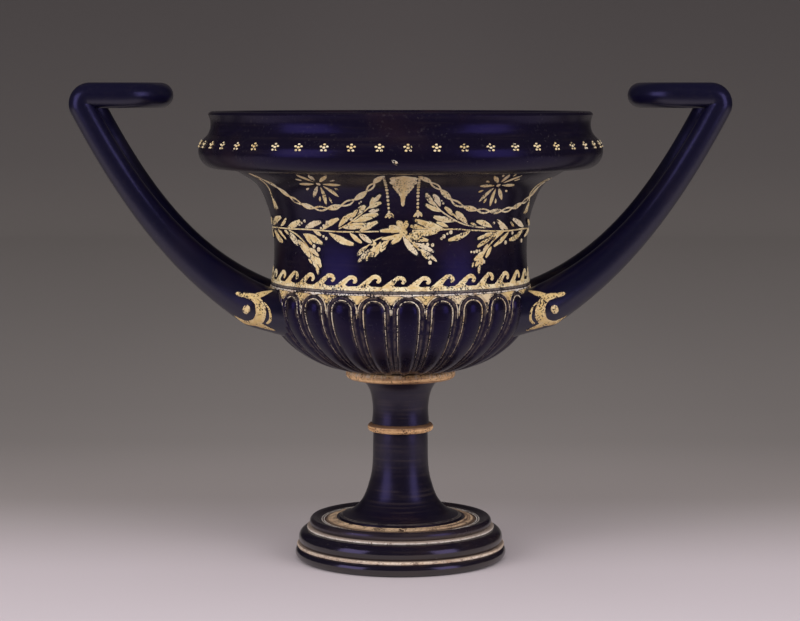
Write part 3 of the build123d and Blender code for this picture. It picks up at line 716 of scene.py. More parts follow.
def measured(face):
    """A turned face with its normals and the length along it from its lower end."""
    way = np.gradient(face, axis=0)
    normal = unit(np.stack([way[:, 1], -way[:, 0]], 1))
    steps = np.linalg.norm(np.diff(face, axis=0), axis=1)
    return face, normal, np.concatenate([[0], np.cumsum(steps)])


NECK = measured(neck_face())


def lip_face():
    """The lip's outer curve: a round moulding below, drawn in to a waist and out again to the rim."""
    under, belly, shoulder, waist = raised(LIP_LOW, LIP_UNDER, LIP_BELLY, LIP_SHOULDER, LIP_WAIST)
    moulding = arc(under, belly, shoulder, 40)
    upper = arc(moulding[-1], waist, (RIM_RADIUS, RIM - RIM_ROUND), 26)
    return even(soften(np.concatenate([moulding, upper[1:]]), 12), 80)


LIP = measured(lip_face())


def on_turned(tables, angle, run, lift):
    """A point on a turned face at an angle and a length along it, lifted off along the face's normal."""
    face, normal, steps = tables
    radius = np.interp(run, steps, face[:, 0]) + lift * np.interp(run, steps, normal[:, 0])
    level = np.interp(run, steps, face[:, 1]) + lift * np.interp(run, steps, normal[:, 1])
    turn = np.asarray(angle) * DEGREE
    return np.stack([radius * np.sin(turn), -radius * np.cos(turn), level], -1)


def on_neck(angle, run, lift):
    """A point on the neck."""
    return on_turned(NECK, angle, run, lift)


def on_lip(angle, run, lift):
    """A point on the lip."""
    return on_turned(LIP, angle, run, lift)


def neck():
    """The thrown neck: its outer curve, a low spigot round its mouth and the same curve inside."""
    mouth = NECK_TOP - NECK_WALL - SPIGOT_WIDTH
    inside = NECK[0][::-1] - [NECK_WALL, 0]
    inside[:, 0] = np.minimum(inside[:, 0], mouth)
    spigot = [(mouth + SPIGOT_WIDTH, LIP_LOW), (mouth + SPIGOT_WIDTH, LIP_LOW + SPIGOT_HEIGHT)]
    profile = closed(NECK[0], spigot, [(mouth, LIP_LOW + SPIGOT_HEIGHT)], inside)
    piece("thrown_neck", [turned(profile)], body_gloss, ["neck_wall"], wrap_rows=True)


def lip():
    """The thrown lip: its outer curve, a rounded rim and a hollow inside."""
    bore = NECK_TOP - NECK_WALL - SPIGOT_WIDTH
    recess = LIP_LOW + SPIGOT_HEIGHT + 0.5
    rim_inner = RIM_RADIUS - RIM_THICKNESS
    crest = (RIM_RADIUS - RIM_THICKNESS / 2, RIM)
    rim = arc((RIM_RADIUS, RIM - RIM_ROUND), (RIM_RADIUS - 1.2, RIM - 0.1), crest, 7)
    rim_in = arc(rim[-1], (rim_inner + 1.0, RIM - 0.25), (rim_inner, RIM - 1.9), 7)
    inner = LIP_WAIST[0] - LIP_WALL
    floor_radius = bore + 0.7 * (inner - bore)
    hollow = raised(LIP_LOW, (inner, LIP_SHOULDER[1]), (floor_radius, LIP_FLOOR))
    hollow = smooth([rim_in[-1], *hollow, (bore, recess + LIP_EDGE)], 40)
    seat = bore + SPIGOT_WIDTH + FIT
    under = [(bore, recess), (seat, recess), (seat, LIP_LOW), (NECK_TOP, LIP_LOW)]
    profile = closed(LIP[0], rim[1:], rim_in[1:], hollow[1:], under)
    grid = wheel_wobble(turned(profile, LIP_ROUND), 0.3)
    piece("thrown_lip", [grid], body_gloss, ["lip_ring"], wrap_rows=True)


# Handles, worked out for the right front arm and mirrored for the others
def level_way(rise, yaw):
    """A direction that rises by one angle and turns in from the right by another."""
    return np.array([math.cos(rise * DEGREE) * math.cos(yaw * DEGREE),
                     math.cos(rise * DEGREE) * math.sin(yaw * DEGREE), math.sin(rise * DEGREE)])


ROOT_WAY = level_way(ROOT_RISE, ROOT_YAW)
KNEE_WAY = level_way(ARM_LEAN, 0)
ROOT_POINT = np.array([BELLY_RADIUS * math.cos(ROOT_ANGLE * DEGREE),
                       -BELLY_RADIUS * math.sin(ROOT_ANGLE * DEGREE), BOWL_TOP - ROOT_DROP])
CROWN_LEVEL = CROWN_TOP - ROD_RADIUS
CROWN_TIP = LIP_BELLY[0] + CROWN_GAP + ROD_RADIUS
KNEE_POINT = np.array([CROWN_TIP + CROWN_LENGTH, -CROWN_HALF_WIDTH, CROWN_LEVEL])
ARM_BOTTOM = ROOT_POINT + ROOT_WAY * PAD_LENGTH
ARM_TOP = KNEE_POINT - KNEE_WAY * KNEE_STUB
SIDES = (("left", -1), ("right", 1))
HANDLE_CORNERS = [(f"{side_name}_{place_name}", side, place)
                  for side_name, side in SIDES
                  for place_name, place in (("front", -1), ("rear", 1))]


def mirrored(points, side, place):
    """Points of the right front arm, moved to the left or right handle and to its front or rear."""
    return points * [side, -place, 1]


def arm_frame(u):
    """Middle, outward and upward of the arm at a share u of its length: a cubic curve whose ends
    follow the root and the knee."""
    u = np.asarray(u, float)[..., None]
    p1, p2 = ARM_BOTTOM + ROOT_WAY * ROOT_REACH, ARM_TOP - KNEE_WAY * ARM_TOP_REACH
    middle = (1 - u)**3 * ARM_BOTTOM + 3 * u * (1 - u)**2 * p1 + 3 * u**2 * (1 - u) * p2 + u**3 * ARM_TOP
    way = (1 - u)**2 * (p1 - ARM_BOTTOM) + 2 * u * (1 - u) * (p2 - p1) + u**2 * (ARM_TOP - p2)
    way = unit(way)
    front = np.array([0, -1.0, 0])
    outward = unit(front - way * (way @ front)[..., None])
    return middle, outward, np.cross(way, outward) * -1


def rod_radius(u):
    """Radius of an arm, thickest at its root."""
    return ROD_RADIUS + (ROOT_ROD_RADIUS - ROD_RADIUS) * (1 - u) ** 2


def on_arm(u, turn, lift):
    """A point on the arm's face at a share of its length and a turn from its outward side upwards."""
    middle, outward, upward = arm_frame(u)
    reach = (rod_radius(np.asarray(u)) + lift)[..., None]
    return middle + reach * (np.cos(turn)[..., None] * outward + np.sin(turn)[..., None] * upward)


def pad_footprint(turn):
    """Where a pad meets the bowl: an oval round the root on the bowl's belly, sunk a little into it."""
    bearing = 90 - ROOT_ANGLE
    angle = bearing - PAD_HALF_WIDTH / BELLY_RADIUS / DEGREE * np.cos(turn)
    level = ROOT_POINT[2] + PAD_HALF_HEIGHT * np.sin(turn)
    radius = np.interp(level, MERIDIAN[::-1, 1], MERIDIAN[::-1, 0]) - PAD_SINK - PETAL_RISE
    return np.stack([radius * np.sin(angle * DEGREE), -radius * np.cos(angle * DEGREE), level], -1)


def on_pad(share, turn, lift):
    """A point on a pad's face: a cubic blend from the arm's end, along the arm, to the oval on the bowl,
    which it meets square to the bowl."""
    s = np.asarray(share, float)[..., None]
    start = on_arm(0 * share, turn, lift)
    end = pad_footprint(turn)
    inward = -unit(end * [1, 1, 0])
    out = unit(end - (ARM_BOTTOM - ROOT_WAY * PAD_LENGTH * PAD_FOCUS))
    end = end + out * np.asarray(lift, float)[..., None]
    at_start, at_end, from_start, to_end = cubic(s)
    arrival = inward * PAD_INWARD + out * PAD_SPREAD
    return at_start * start + at_end * end + from_start * -ROOT_WAY * PAD_PULL + to_end * arrival


def capped(rings):
    """A tube of rings closed at both ends by a point in the middle of its first and last rings."""
    first, last = rings[:1].mean(1, keepdims=True), rings[-1:].mean(1, keepdims=True)
    return np.concatenate([np.repeat(first, rings.shape[1], 1), rings, np.repeat(last, rings.shape[1], 1)])


def handles():
    """The four arms, the flared pads at their roots and the two bent crowns."""
    turn = full_turn(ROD_ROUND)[None, :]
    u = np.linspace(0, 1, 90)[:, None]
    arm = capped(on_arm(u + 0 * turn, turn + 0 * u, 0.0))
    share = np.linspace(0, 1, 18)[:, None]
    pad = capped(on_pad(share + 0 * turn, turn + 0 * share, 0.0))
    pads = []
    for name, side, place in HANDLE_CORNERS:
        piece(name + "_rod", [mirrored(arm, side, place)], handle_gloss, [name + "_arm"])
        pads.append(mirrored(pad, side, place))
    piece("flared_pads", pads, handle_gloss, ["root_pads"])

    bend = np.linspace(0, 180 - ARM_LEAN, 22)[1:] * DEGREE
    setback = KNEE_BEND * math.tan((180 - ARM_LEAN) / 2 * DEGREE)
    leg = KNEE_POINT[0] - setback
    heading = ARM_LEAN * DEGREE + bend
    knee = np.stack([leg + KNEE_BEND * np.sin(heading), 0 * bend - CROWN_HALF_WIDTH,
                     CROWN_LEVEL - KNEE_BEND - KNEE_BEND * np.cos(heading)], 1)
    stub = ARM_TOP + KNEE_WAY * np.linspace(0, KNEE_STUB - setback, 8)[:, None]
    sweep = np.linspace(90, 270, 48)[:, None] * DEGREE
    centre = CROWN_TIP + CROWN_HALF_WIDTH
    half_loop = np.concatenate([centre + CROWN_HALF_WIDTH * np.cos(sweep), -CROWN_HALF_WIDTH * np.sin(sweep),
                                0 * sweep + CROWN_LEVEL], 1)
    run = np.linspace(leg, centre, 10)[1:-1, None]
    run = np.concatenate([run, 0 * run - CROWN_HALF_WIDTH, 0 * run + CROWN_LEVEL], 1)
    front = np.concatenate([stub, knee, run])
    path = np.concatenate([front, half_loop, front[::-1] * [1, -1, 1]])
    way = unit(np.gradient(path, axis=0))
    side_way = np.tile([0.0, 0, 1], (len(path), 1))
    count = len(stub) + len(knee)
    side_way[:count] = np.cross([0.0, 1, 0], way[:count])
    side_way[-count:] = -np.cross([0.0, 1, 0], way[-count:])
    side_way = unit(side_way)
    across = np.cross(way, side_way)
    around = np.cos(turn)[..., None] * side_way[:, None] + np.sin(turn)[..., None] * across[:, None]
    crown = capped(path[:, None] + ROD_RADIUS * around)
    for side_name, side in SIDES:
        piece(side_name + "_crown_rod", [mirrored(crown, side, -1)], handle_gloss,
              [side_name + "_crown_loop"])


# Painted ornament: strokes of slip in flat millimetres, laid on the face that carries them
def section(points):
    """Across and up of a flat-topped section with upright sides and some points along its top."""
    edge = 0.7 if points < 5 else 0.94
    top = np.linspace(edge, -edge, points)
    across = np.concatenate([[1, 1], top, [-1, -1, 0]])
    crown = 1 + STROKE_CROWN - STROKE_CROWN * np.abs(top) / edge
    return across, np.concatenate([[0, STROKE_SIDE], crown, [STROKE_SIDE, 0, 0]])


def stroke(path, half_width, relief=PAINT_RELIEF, rough=0.0, tone=None, points=3):
    """A brush stroke: a flat-topped section with upright sides carried along a flat path, width times the
    section across it and relief times the section above the face; both come to nothing at the ends. Each
    point also holds how near it is to the stroke's middle line, and the stroke's tone."""
    path = np.asarray(path, float)
    width = np.asarray(half_width, float) * np.ones(len(path))
    if rough:
        width[1:-1] *= 1 + rough * hand.uniform(-1, 1, len(path) - 2)
    way = unit(np.gradient(path, axis=0))
    normal = np.stack([-way[:, 1], way[:, 0]], 1)
    fade = np.clip(width / (np.max(width) * 0.35), 0, 1)
    across, up = section(points)
    flat = path[:, None] + (width[:, None] * across)[..., None] * normal[:, None]
    height = fade[:, None] * np.where(up > 0, relief * up, -PAINT_SINK)
    core = np.clip(1 - np.abs(across), 0, 1) * (up > 0) + 0 * height
    tone = hand.random() ** 4 if tone is None else tone
    return np.concatenate([flat, np.stack([height, core, tone + 0 * height], -1)], -1)


def rounded(count, sharpness=6):
    """A width of 1 along a stroke, with rounded ends that come to nothing."""
    s = np.linspace(-1, 1, count)
    return (1 - np.abs(s) ** sharpness) ** 0.5


def leaf(base, tip, width, bow=0.08, relief=PAINT_RELIEF, tone=None):
    """A laurel leaf: a lens from base to tip, fullest past its middle, on a slightly bowed line."""
    base, tip = np.asarray(base, float), np.asarray(tip, float)
    s = np.linspace(0, 1, 11)[:, None]
    side = np.array([-(tip - base)[1], (tip - base)[0]])
    path = base + (tip - base) * s + side * bow * 4 * s * (1 - s)
    return stroke(path, width * np.sin(math.pi * s[:, 0] ** 1.15) ** 0.7, relief, 0.06, tone)


LEAF_STEP, LEAF_EDGE, LEAF_EDGE_TIP, LEAF_EDGE_START = 0.07, 0.24, 0.3, 0.2


def edged_leaf(base, tip, width, layer):
    """A leaf on a wider dark one, so that it stands clear of the leaves below it; the dark one starts past
    the base, which joins its stem. Layers rise in steps."""
    base, tip = np.asarray(base, float), np.asarray(tip, float)
    lift = PAINT_RELIEF + LEAF_STEP * layer
    over = unit(tip - base) * LEAF_EDGE_TIP
    bow = 0.05 * hand.uniform(-1, 1)
    start = base + LEAF_EDGE_START * (tip - base)
    dark = leaf(start, tip + over, width + LEAF_EDGE, bow, lift, -1.0)
    return [dark, leaf(base, tip, width, bow, lift + 0.05)]


def dot(place, radius, relief=PAINT_RELIEF, tone=None):
    """A round dab of slip."""
    s = np.linspace(-1, 1, 9)
    path = np.asarray(place, float) + np.stack([s * radius, 0 * s], 1)
    return stroke(path, radius * np.sqrt(np.clip(1 - s * s, 0, 1)), relief, tone=tone)


def flat_points(places, tables=None):
    """Places in (degrees, level) as flat millimetres: across at the neck's radius, up along the face."""
    face, _, steps = tables or NECK
    angle, level = np.asarray(places, float).T
    return np.stack([angle * FLAT_RADIUS * DEGREE, np.interp(level, face[:, 1], steps)], 1)


def laid(name, strokes, face, material, turn=0.0, crease=40.0):
    """Flat strokes put on a face, turned round the cup by some degrees, as one painted object."""
    grids = [face(g[..., 0] / (FLAT_RADIUS * DEGREE) + turn, g[..., 1], g[..., 2]) for g in strokes]
    painted(name, grids, strokes, material, crease=crease)


def painted(name, grids, strokes, material, nodes=(), crease=40.0):
    """Strokes that already lie on the cup, as one painted object with their middles and tones."""
    values = {"core": [g[..., 3] for g in strokes], "tone": [g[..., 4] for g in strokes]}
    piece(name, grids, material, nodes, crease=crease, values=values)


WAVES, WAVE_TURN = 34, -3.0
WAVE_BAND = (1.45, 3.4)


def wave_band():
    """A ring of running waves: a level band, and for each wave a tapering crest that curls over to the
    right, with the slope behind it filled in. Heights are along the neck from its foot."""
    ring = np.linspace(0, 360, 240, endpoint=False)[:, None]
    middle, half = sum(WAVE_BAND) / 2, (WAVE_BAND[1] - WAVE_BAND[0]) / 2
    theta = full_turn(8)
    lift = np.where(np.sin(theta) > 0, PAINT_RELIEF, -PAINT_SINK)
    uneven = 1 + 0.12 * hand.uniform(-1, 1, (240, 1))
    band = on_neck(ring + 0 * theta, middle + half * uneven * np.cos(theta), lift + 0 * ring)
    crest = smooth([(-6.0, 2.7), (-3.6, 3.3), (-1.5, 4.5), (0.6, 6.3), (2.5, 7.5), (4.3, 7.2), (5.0, 6.1),
                    (4.4, 5.35), (3.5, 5.4)], 32)
    crest_width = width_along(32, [0, 0.1, 0.3, 0.45, 0.55, 0.7, 0.85, 0.96, 1],
                              [0, 0.8, 1.35, 1.15, 0.95, 0.9, 0.9, 0.75, 0])
    slope = smooth([(-5.8, 2.7), (-2.2, 3.2), (1.4, 3.2)], 9)
    slope_width = width_along(9, [0, 0.3, 0.65, 1], [0, 0.9, 1.2, 0])
    strokes = []
    for i in range(WAVES):
        start = (i * 360 / WAVES + WAVE_TURN) * FLAT_RADIUS * DEGREE
        swing = 1 + 0.05 * hand.uniform(-1, 1, 2)
        for path, widths in ((crest, crest_width), (slope, slope_width)):
            strokes.append(stroke(path * swing + [start, 0], widths, rough=0.06))
    return [band], strokes


# The garland, in flat millimetres on the neck: stems as points, leaves as (base, tip, half width),
# berries as (place, radius). The left half, then the right half.
LAUREL_STEMS = (
    ((-90, 26.9), (-75, 27.5), (-60, 27.7), (-45, 28.0), (-30, 27.6), (-15, 27.9), (-4, 28.3)),
    ((-29, 28.8), (-24, 31.2), (-19.5, 34.4), (-15, 38.0), (-11, 41.6)),
    ((-62, 27.2), (-55, 25.2), (-50, 22.3), (-46, 18.4), (-42.6, 13.6), (-40.6, 9.8)),
    ((1, 27.0), (-5, 26.0), (-10, 24.8), (-14, 22.4), (-17, 19.6)),
    ((90, 26.3), (72, 27.0), (58, 26.9), (46, 27.3), (33, 28.2), (24, 28.9), (14, 28.4)),
    ((42, 28.9), (32, 30.3), (27, 31.9), (22, 34.6), (17, 38.2), (13.6, 42.4)),
    ((54, 26.6), (47, 22.6), (42.5, 18.4), (39.6, 14.0), (38.4, 9.8)),
    ((1.5, 27.0), (5, 22.5), (9.3, 19.6), (12.4, 15.8)),
)
LAUREL_LEAVES = (
    # left branch, above and below its stem
    ((-95, 28.0), (-81.5, 32.4), 1.1), ((-84, 28.2), (-65.3, 33.2), 1.25),
    ((-70, 28.4), (-61, 33.1), 0.75), ((-62.5, 28.2), (-49.6, 32.5), 1.25),
    ((-48.6, 28.5), (-36.4, 32.3), 1.2), ((-38, 28.0), (-27.3, 33.9), 1.05),
    ((-96, 26.0), (-84, 22.6), 1.2), ((-82, 26.2), (-67.3, 21.0), 1.4), ((-75, 26.9), (-63.6, 22.2), 0.7),
    ((-66, 26.8), (-60.4, 25.0), 0.65), ((-43.5, 27.7), (-38.3, 25.3), 0.85),
    ((-34.6, 27.1), (-20.5, 21.8), 1.3), ((-23.6, 27.3), (-17.2, 22.5), 0.9),
    # left sprig that climbs
    ((-29, 29.5), (-20.3, 36.8), 1.1), ((-22.4, 34.0), (-18.4, 38.7), 0.85),
    ((-20, 35.5), (-14.6, 40.4), 1.1), ((-13.2, 39.4), (-11.2, 44.7), 0.8),
    ((-12, 41.0), (-7.8, 46.3), 0.85), ((-14, 38.8), (-7.4, 42.0), 1.0), ((-14, 37.3), (-8.8, 38.6), 0.8),
    ((-19, 34.0), (-8.9, 36.4), 1.1), ((-22, 32.2), (-11.5, 34.5), 0.85),
    ((-25, 30.8), (-14.4, 31.9), 0.75), ((-27, 29.4), (-15.2, 30.4), 0.85),
    ((-19, 27.9), (-9.2, 33.0), 1.15),
    # left sprig that hangs near the handle
    ((-63, 26.0), (-53.6, 20.0), 1.35), ((-55, 23.0), (-45.2, 14.8), 1.45),
    ((-50.5, 25.8), (-37.0, 21.4), 1.4), ((-49, 24.9), (-44, 20.8), 0.8),
    ((-46.8, 19.6), (-39.8, 15.8), 0.9), ((-46.8, 17.6), (-41.4, 10.3), 1.1),
    ((-43.4, 17.2), (-38.8, 10.6), 1.15), ((-47.2, 14.7), (-44.3, 12.3), 0.5),
    ((-41.8, 12.4), (-40.2, 7.6), 0.8),
    # left sprig that hangs from the middle
    ((-19.2, 26.9), (-12.6, 22.6), 1.1), ((-17, 25.0), (-10.6, 22.0), 1.1),
    ((-15, 21.6), (-20.3, 16.8), 0.85), ((-14.4, 20.2), (-20.1, 13.9), 0.9),
    ((-13.4, 20.4), (-16.3, 14.5), 0.95), ((-12, 22.0), (-13.2, 16.2), 0.8),
    ((-8.8, 23.6), (-12.3, 16.1), 1.05), ((-6.4, 24.6), (-9.6, 18.7), 1.05),
    ((-4.6, 25.6), (-8.4, 20.2), 0.6),
    # the middle, to the left
    ((1, 27.0), (-9.5, 24.7), 0.9), ((1, 28.0), (-10.2, 28.2), 1.0), ((1.2, 28.6), (-5.6, 30.7), 1.15),
    ((1.4, 29.0), (-1.8, 33.2), 1.25), ((2, 29.0), (2.8, 33.5), 1.0), ((1.2, 26.6), (-4.5, 22.3), 1.1),
    # the middle, to the right
    ((20, 29.1), (5.0, 34.0), 1.35), ((17.5, 28.8), (3.2, 30.6), 1.1), ((18, 28.2), (4.0, 28.6), 1.05),
    ((17, 27.3), (2.6, 26.6), 1.15), ((1.6, 26.4), (13.7, 23.8), 1.15), ((1, 26.0), (8.5, 17.0), 1.2),
    ((2.6, 25.8), (9.4, 19.2), 1.0),
    # right sprig that hangs from the middle
    ((6, 23.0), (16.2, 18.4), 0.9), ((9, 20.4), (17.3, 13.9), 0.75), ((9, 20.0), (12.6, 15.4), 0.6),
    # right branch, above and below its stem
    ((33.5, 27.9), (20.8, 23.8), 1.4), ((46, 28.9), (35.0, 32.4), 1.25), ((58, 27.5), (47.3, 33.1), 1.15),
    ((62.8, 28.6), (58.3, 31.2), 0.6), ((75, 27.6), (58.4, 32.9), 1.35), ((92, 27.8), (77.6, 31.6), 1.1),
    ((54.4, 27.4), (50.2, 29.8), 0.6), ((55, 26.8), (43.2, 23.6), 1.15), ((59, 26.7), (46.4, 19.9), 1.15),
    ((74, 26.6), (57.6, 22.6), 1.4), ((93, 25.8), (75.0, 22.8), 1.3),
    # right sprig that climbs
    ((15, 39.4), (10.2, 47.2), 0.9), ((17.2, 39.4), (13.1, 46.4), 1.0), ((18.2, 37.1), (9.8, 41.4), 0.9),
    ((23.6, 34.9), (18.6, 39.8), 1.05), ((26.5, 33.0), (22.4, 36.6), 0.5),
    ((31.6, 30.9), (24.1, 37.7), 1.3), ((25, 32.5), (13.6, 35.3), 1.15), ((22, 29.8), (15.5, 32.4), 0.8),
    ((36.4, 30.1), (32.4, 31.6), 0.6),
    # right sprig that hangs near the handle
    ((48, 26.5), (36.1, 23.7), 1.1), ((46.2, 24.0), (36.9, 20.0), 1.0), ((44.2, 21.6), (40.4, 16.6), 0.9),
    ((46.4, 20.4), (42.2, 15.0), 1.1), ((42.2, 18.6), (35.0, 14.4), 1.45),
    ((40.6, 16.6), (35.8, 11.4), 1.2), ((41.2, 15.4), (40.0, 12.0), 0.9),
    ((39.2, 12.8), (38.3, 8.1), 0.8), ((35.7, 13.6), (34.6, 11.2), 0.5),
)
LAUREL_BERRIES = (
    ((-52, 30.0), 0.6), ((-50.2, 30.9), 0.6), ((-48, 31.8), 0.7), ((-38.4, 28.9), 0.6),
    ((-36.7, 30.0), 0.7), ((-34.5, 31.6), 0.9), ((-37.4, 25.2), 0.6), ((-35.9, 24.3), 0.7),
    ((-43.4, 20.5), 0.95), ((-40.6, 19.2), 1.0), ((-43.2, 17.9), 0.9), ((-22.3, 33.7), 0.8),
    ((-16.8, 41.9), 0.4), ((-17.6, 41.2), 0.4), ((10.4, 22.4), 0.5), ((12.4, 22.2), 0.8),
    ((14.7, 21.9), 0.8), ((12.9, 16.2), 0.75), ((13.6, 14.1), 0.9), ((18.9, 24.7), 0.6),
    ((20, 25.7), 0.9), ((21.6, 26.8), 0.5), ((23.3, 27.5), 0.9), ((17.6, 42.4), 0.4), ((18.3, 41.1), 0.5),
    ((46.5, 31.0), 0.6), ((50.2, 30.9), 0.5), ((38.9, 18.7), 0.5), ((37.4, 18.5), 0.75),
    ((35.9, 18.2), 0.6), ((34.3, 18.3), 0.5), ((41.6, 13.6), 0.8), ((56.5, 21.6), 0.9), ((62, 25.7), 0.8),
    ((73.5, 21.5), 0.9),
)
LEAF_FULLNESS, RIGHT_BRANCH, LEAF_LAYERS = (1.2, 1.0), 18, 5
KNOT, KNOT_RADIUS, KNOT_RELIEF = (1.3, 27.6), 1.9, 0.52
TWIG_WIDTH, TWIG_RELIEF = 0.3, 0.4


def laurel():
    """The laurel garland: two branches that meet in a knot of leaves, with sprigs that climb and hang."""
    made = []
    for places in LAUREL_STEMS:
        line = smooth(places, 8 * len(places))
        made.append(stroke(line, TWIG_WIDTH * rounded(len(line), 30), TWIG_RELIEF, 0.1))
    for i, (base, tip, width) in enumerate(LAUREL_LEAVES):
        made += edged_leaf(base, tip, LEAF_FULLNESS[tip[0] > RIGHT_BRANCH] * width, i % LEAF_LAYERS)
    made.append(dot(KNOT, KNOT_RADIUS, KNOT_RELIEF, 0.0))
    return made + [dot(place, radius, TWIG_RELIEF, 0.8) for place, radius in LAUREL_BERRIES]


# What hangs from the lip, in (degrees, level): the ropes with their loops, the stars and the fillets. Rays
# and dashes of a star are (start, end, half width).
SWAGS = (
    (((-64, 182.8), (-54, 174.8), (-44.5, 169.3), (-36, 167.6), (-24, 169.4), (-14, 174.9),
      (-6.0, 182.9)), 11),
    (((6.3, 182.9), (14.0, 177.5), (23.5, 169.9), (34, 166.8), (44, 166.0), (58, 168.0), (68, 172.4),
      (76, 180)), 12),
)
SWAG_POINTS, SWAG_SWAY, SWAG_STRAND, SWAG_FILL = 141, 0.95, 0.37, 0.68
STARS = ((-31.3, 178.8), (39.2, 178.0))
STAR_DOT, STAR_RAY, STAR_DASH, STAR_NARROW = 0.95, (2.4, 11.6, 0.9), (8.2, 11.2, 0.5), 0.8
FILLET_BEADS, FILLET_BEAD_RADIUS = 13, 0.64
BEADED_FILLETS = (((-5.6, 182.6), (-4.7, 166.6)), ((6.3, 182.6), (7.0, 167.0)))
SIDE_FILLETS = (((-62, 182), (-64.5, 175), (-66.5, 171)), ((72, 180), (66, 172.5), (69, 169)))


def swags():
    """Two looped ropes hung from the lip, each of two strands that cross: a hanging curve with the strands
    a sine apart, and every other loop filled in."""
    made = []
    for places, loops in SWAGS:
        line = even(smooth(flat_points(places), 200), SWAG_POINTS)
        s = np.linspace(0, 1, SWAG_POINTS)
        way = unit(np.gradient(line, axis=0))
        normal = np.stack([-way[:, 1], way[:, 0]], 1)
        for phase in (-1, 1):
            strand = line + normal * (phase * SWAG_SWAY * np.sin(loops * math.pi * s))[:, None]
            made.append(stroke(strand, SWAG_STRAND * rounded(SWAG_POINTS, 40), rough=0.15))
        for i in range(0, loops, 2):
            part = slice(*(int(SWAG_POINTS * (i + end) / loops) for end in (0.1, 0.9)))
            swell = np.sin(np.linspace(0, math.pi, part.stop - part.start)) ** 0.8
            made.append(stroke(line[part], SWAG_FILL * swell))
    return made


def star(angle, level):
    """A star: eight lens-shaped rays round a dot, with a short dash far out between each pair. Rays that
    would run under the lip are cut short."""
    centre = flat_points([(angle, level)])[0]
    highest = NECK[2][-1] - 0.3
    made = [dot(centre, STAR_DOT)]
    for i in range(16):
        lean = (i * 22.5 + 4 * hand.uniform(-1, 1)) * DEGREE
        way = np.array([math.cos(lean) * STAR_NARROW, math.sin(lean)])
        start, end, width = STAR_DASH if i % 2 else STAR_RAY
        end += 0.6 * hand.uniform(-1, 1)
        if way[1] > 0.01:
            end = min(end, (highest - centre[1]) / way[1])
        if end > start + 1.5:
            made.append(leaf(centre + way * start, centre + way * end, width, 0.0))
    return made


def tassel(place, spread, length):
    """Three strokes that hang from one place and spread apart."""
    ends = [place + np.array([lean * spread, -length + 0.4 * abs(lean)]) for lean in (-1, 0, 1)]
    return [leaf(place, end, 0.6) for end in ends]


def beaded_fillet(places):
    """A string of touching dabs down a line, with a tassel at its end."""
    line = even(smooth(flat_points(places), 40), FILLET_BEADS)
    beads = [dot(p, FILLET_BEAD_RADIUS * (1 + 0.15 * hand.uniform(-1, 1))) for p in line]
    return beads + tassel(line[-1], 1.9, 3.2)


def side_fillet(places):
    """A thin ribbon down a line, with a long tassel at its end."""
    line = smooth(flat_points(places), 24)
    return [stroke(line, 0.45 * rounded(24, 20))] + tassel(line[-2], 2.0, 6.5)


def pendant():
    """A broad pendant under the lip: a flat top that steps in to a narrow tail."""
    path = flat_points(np.linspace([1.1, 182.9], [0.9, 169.0], 25))
    width = width_along(25, [0, 0.04, 0.16, 0.3, 0.42, 0.5, 0.62, 0.8, 0.95, 1],
                        [0, 4.6, 4.9, 4.3, 3.9, 2.9, 1.5, 0.8, 0.75, 0])
    return [stroke(path, width, rough=0.13)]


def painted_neck():
    """All the slip ornament of the neck, on the front and again on the back."""
    rings, waves = wave_band()
    piece("wave_band_ring", rings, ornament_slip, wrap_rows=True)
    laid("wave_crests", waves, on_neck, ornament_slip)
    for name, turn in (("front", 0.0), ("back", 180.0)):
        laid(f"laurel_{name}", laurel(), on_neck, ornament_slip, turn)
        hung = swags()
        for angle, level in STARS:
            hung += star(angle, level)
        hung += pendant()
        for places in BEADED_FILLETS:
            hung += beaded_fillet(places)
        for places in SIDE_FILLETS:
            hung += side_fillet(places)
        laid(f"swags_{name}", hung, on_neck, ornament_slip, turn)


ROSETTES, ROSETTE_LEVEL, ROSETTE_RADIUS, ROSETTE_TURN = 48, 195.4, 1.55, 2.0
ROSETTE_MIDDLE, ROSETTE_PETAL = 0.5, 0.42
CHIP = ((-2.4, 190.4), (-0.9, 188.0))


def painted_lip():
    """A row of small dot rosettes round the lip, and a pale chip in its round moulding."""
    made = []
    narrow = np.array([FLAT_RADIUS / LIP_BELLY[0], 1])
    for i in range(ROSETTES):
        middle = flat_points([(i * 360 / ROSETTES + ROSETTE_TURN, ROSETTE_LEVEL)], LIP)[0]
        made.append(dot(middle, ROSETTE_MIDDLE))
        for k in range(5):
            lean = (k * 72 + 90) * DEGREE
            way = np.array([math.cos(lean), math.sin(lean)])
            made.append(dot(middle + narrow * ROSETTE_RADIUS * way, ROSETTE_PETAL))
    laid("lip_rosettes", made, on_lip, ornament_slip)
    chip = leaf(*flat_points(CHIP, LIP), 0.62, 0.1)
    laid("lip_chip", [chip], on_lip, arch_slip)


# Slip on the bowl: drop, half width and lift of the lines round it; half width of an arch's line at its top
# and at its tail; share of a tongue that the outer line goes round; relief of the lines and of the corners
SHOULDER_LINE, SEAM_LINE = (0.32, 0.26, 0.12), (0.9, 0.6, 0.1)
ARCH_LINE, ARCH_TAIL, OUTER_SHARE, ARCH_LINE_RELIEF, CORNER_RELIEF = 0.25, 0.06, 0.955, 0.2, 0.18


def hoop(face, drop, half_width, lift):
    """A line of slip all round a face: an oval section at a drop along it, by its half width and its lift."""
    ring = np.linspace(0, 360, 300, endpoint=False)[:, None]
    turn = full_turn(8)
    return face(ring + 0 * turn, drop + half_width * np.cos(turn) + 0 * ring, lift * np.sin(turn) + 0 * ring)


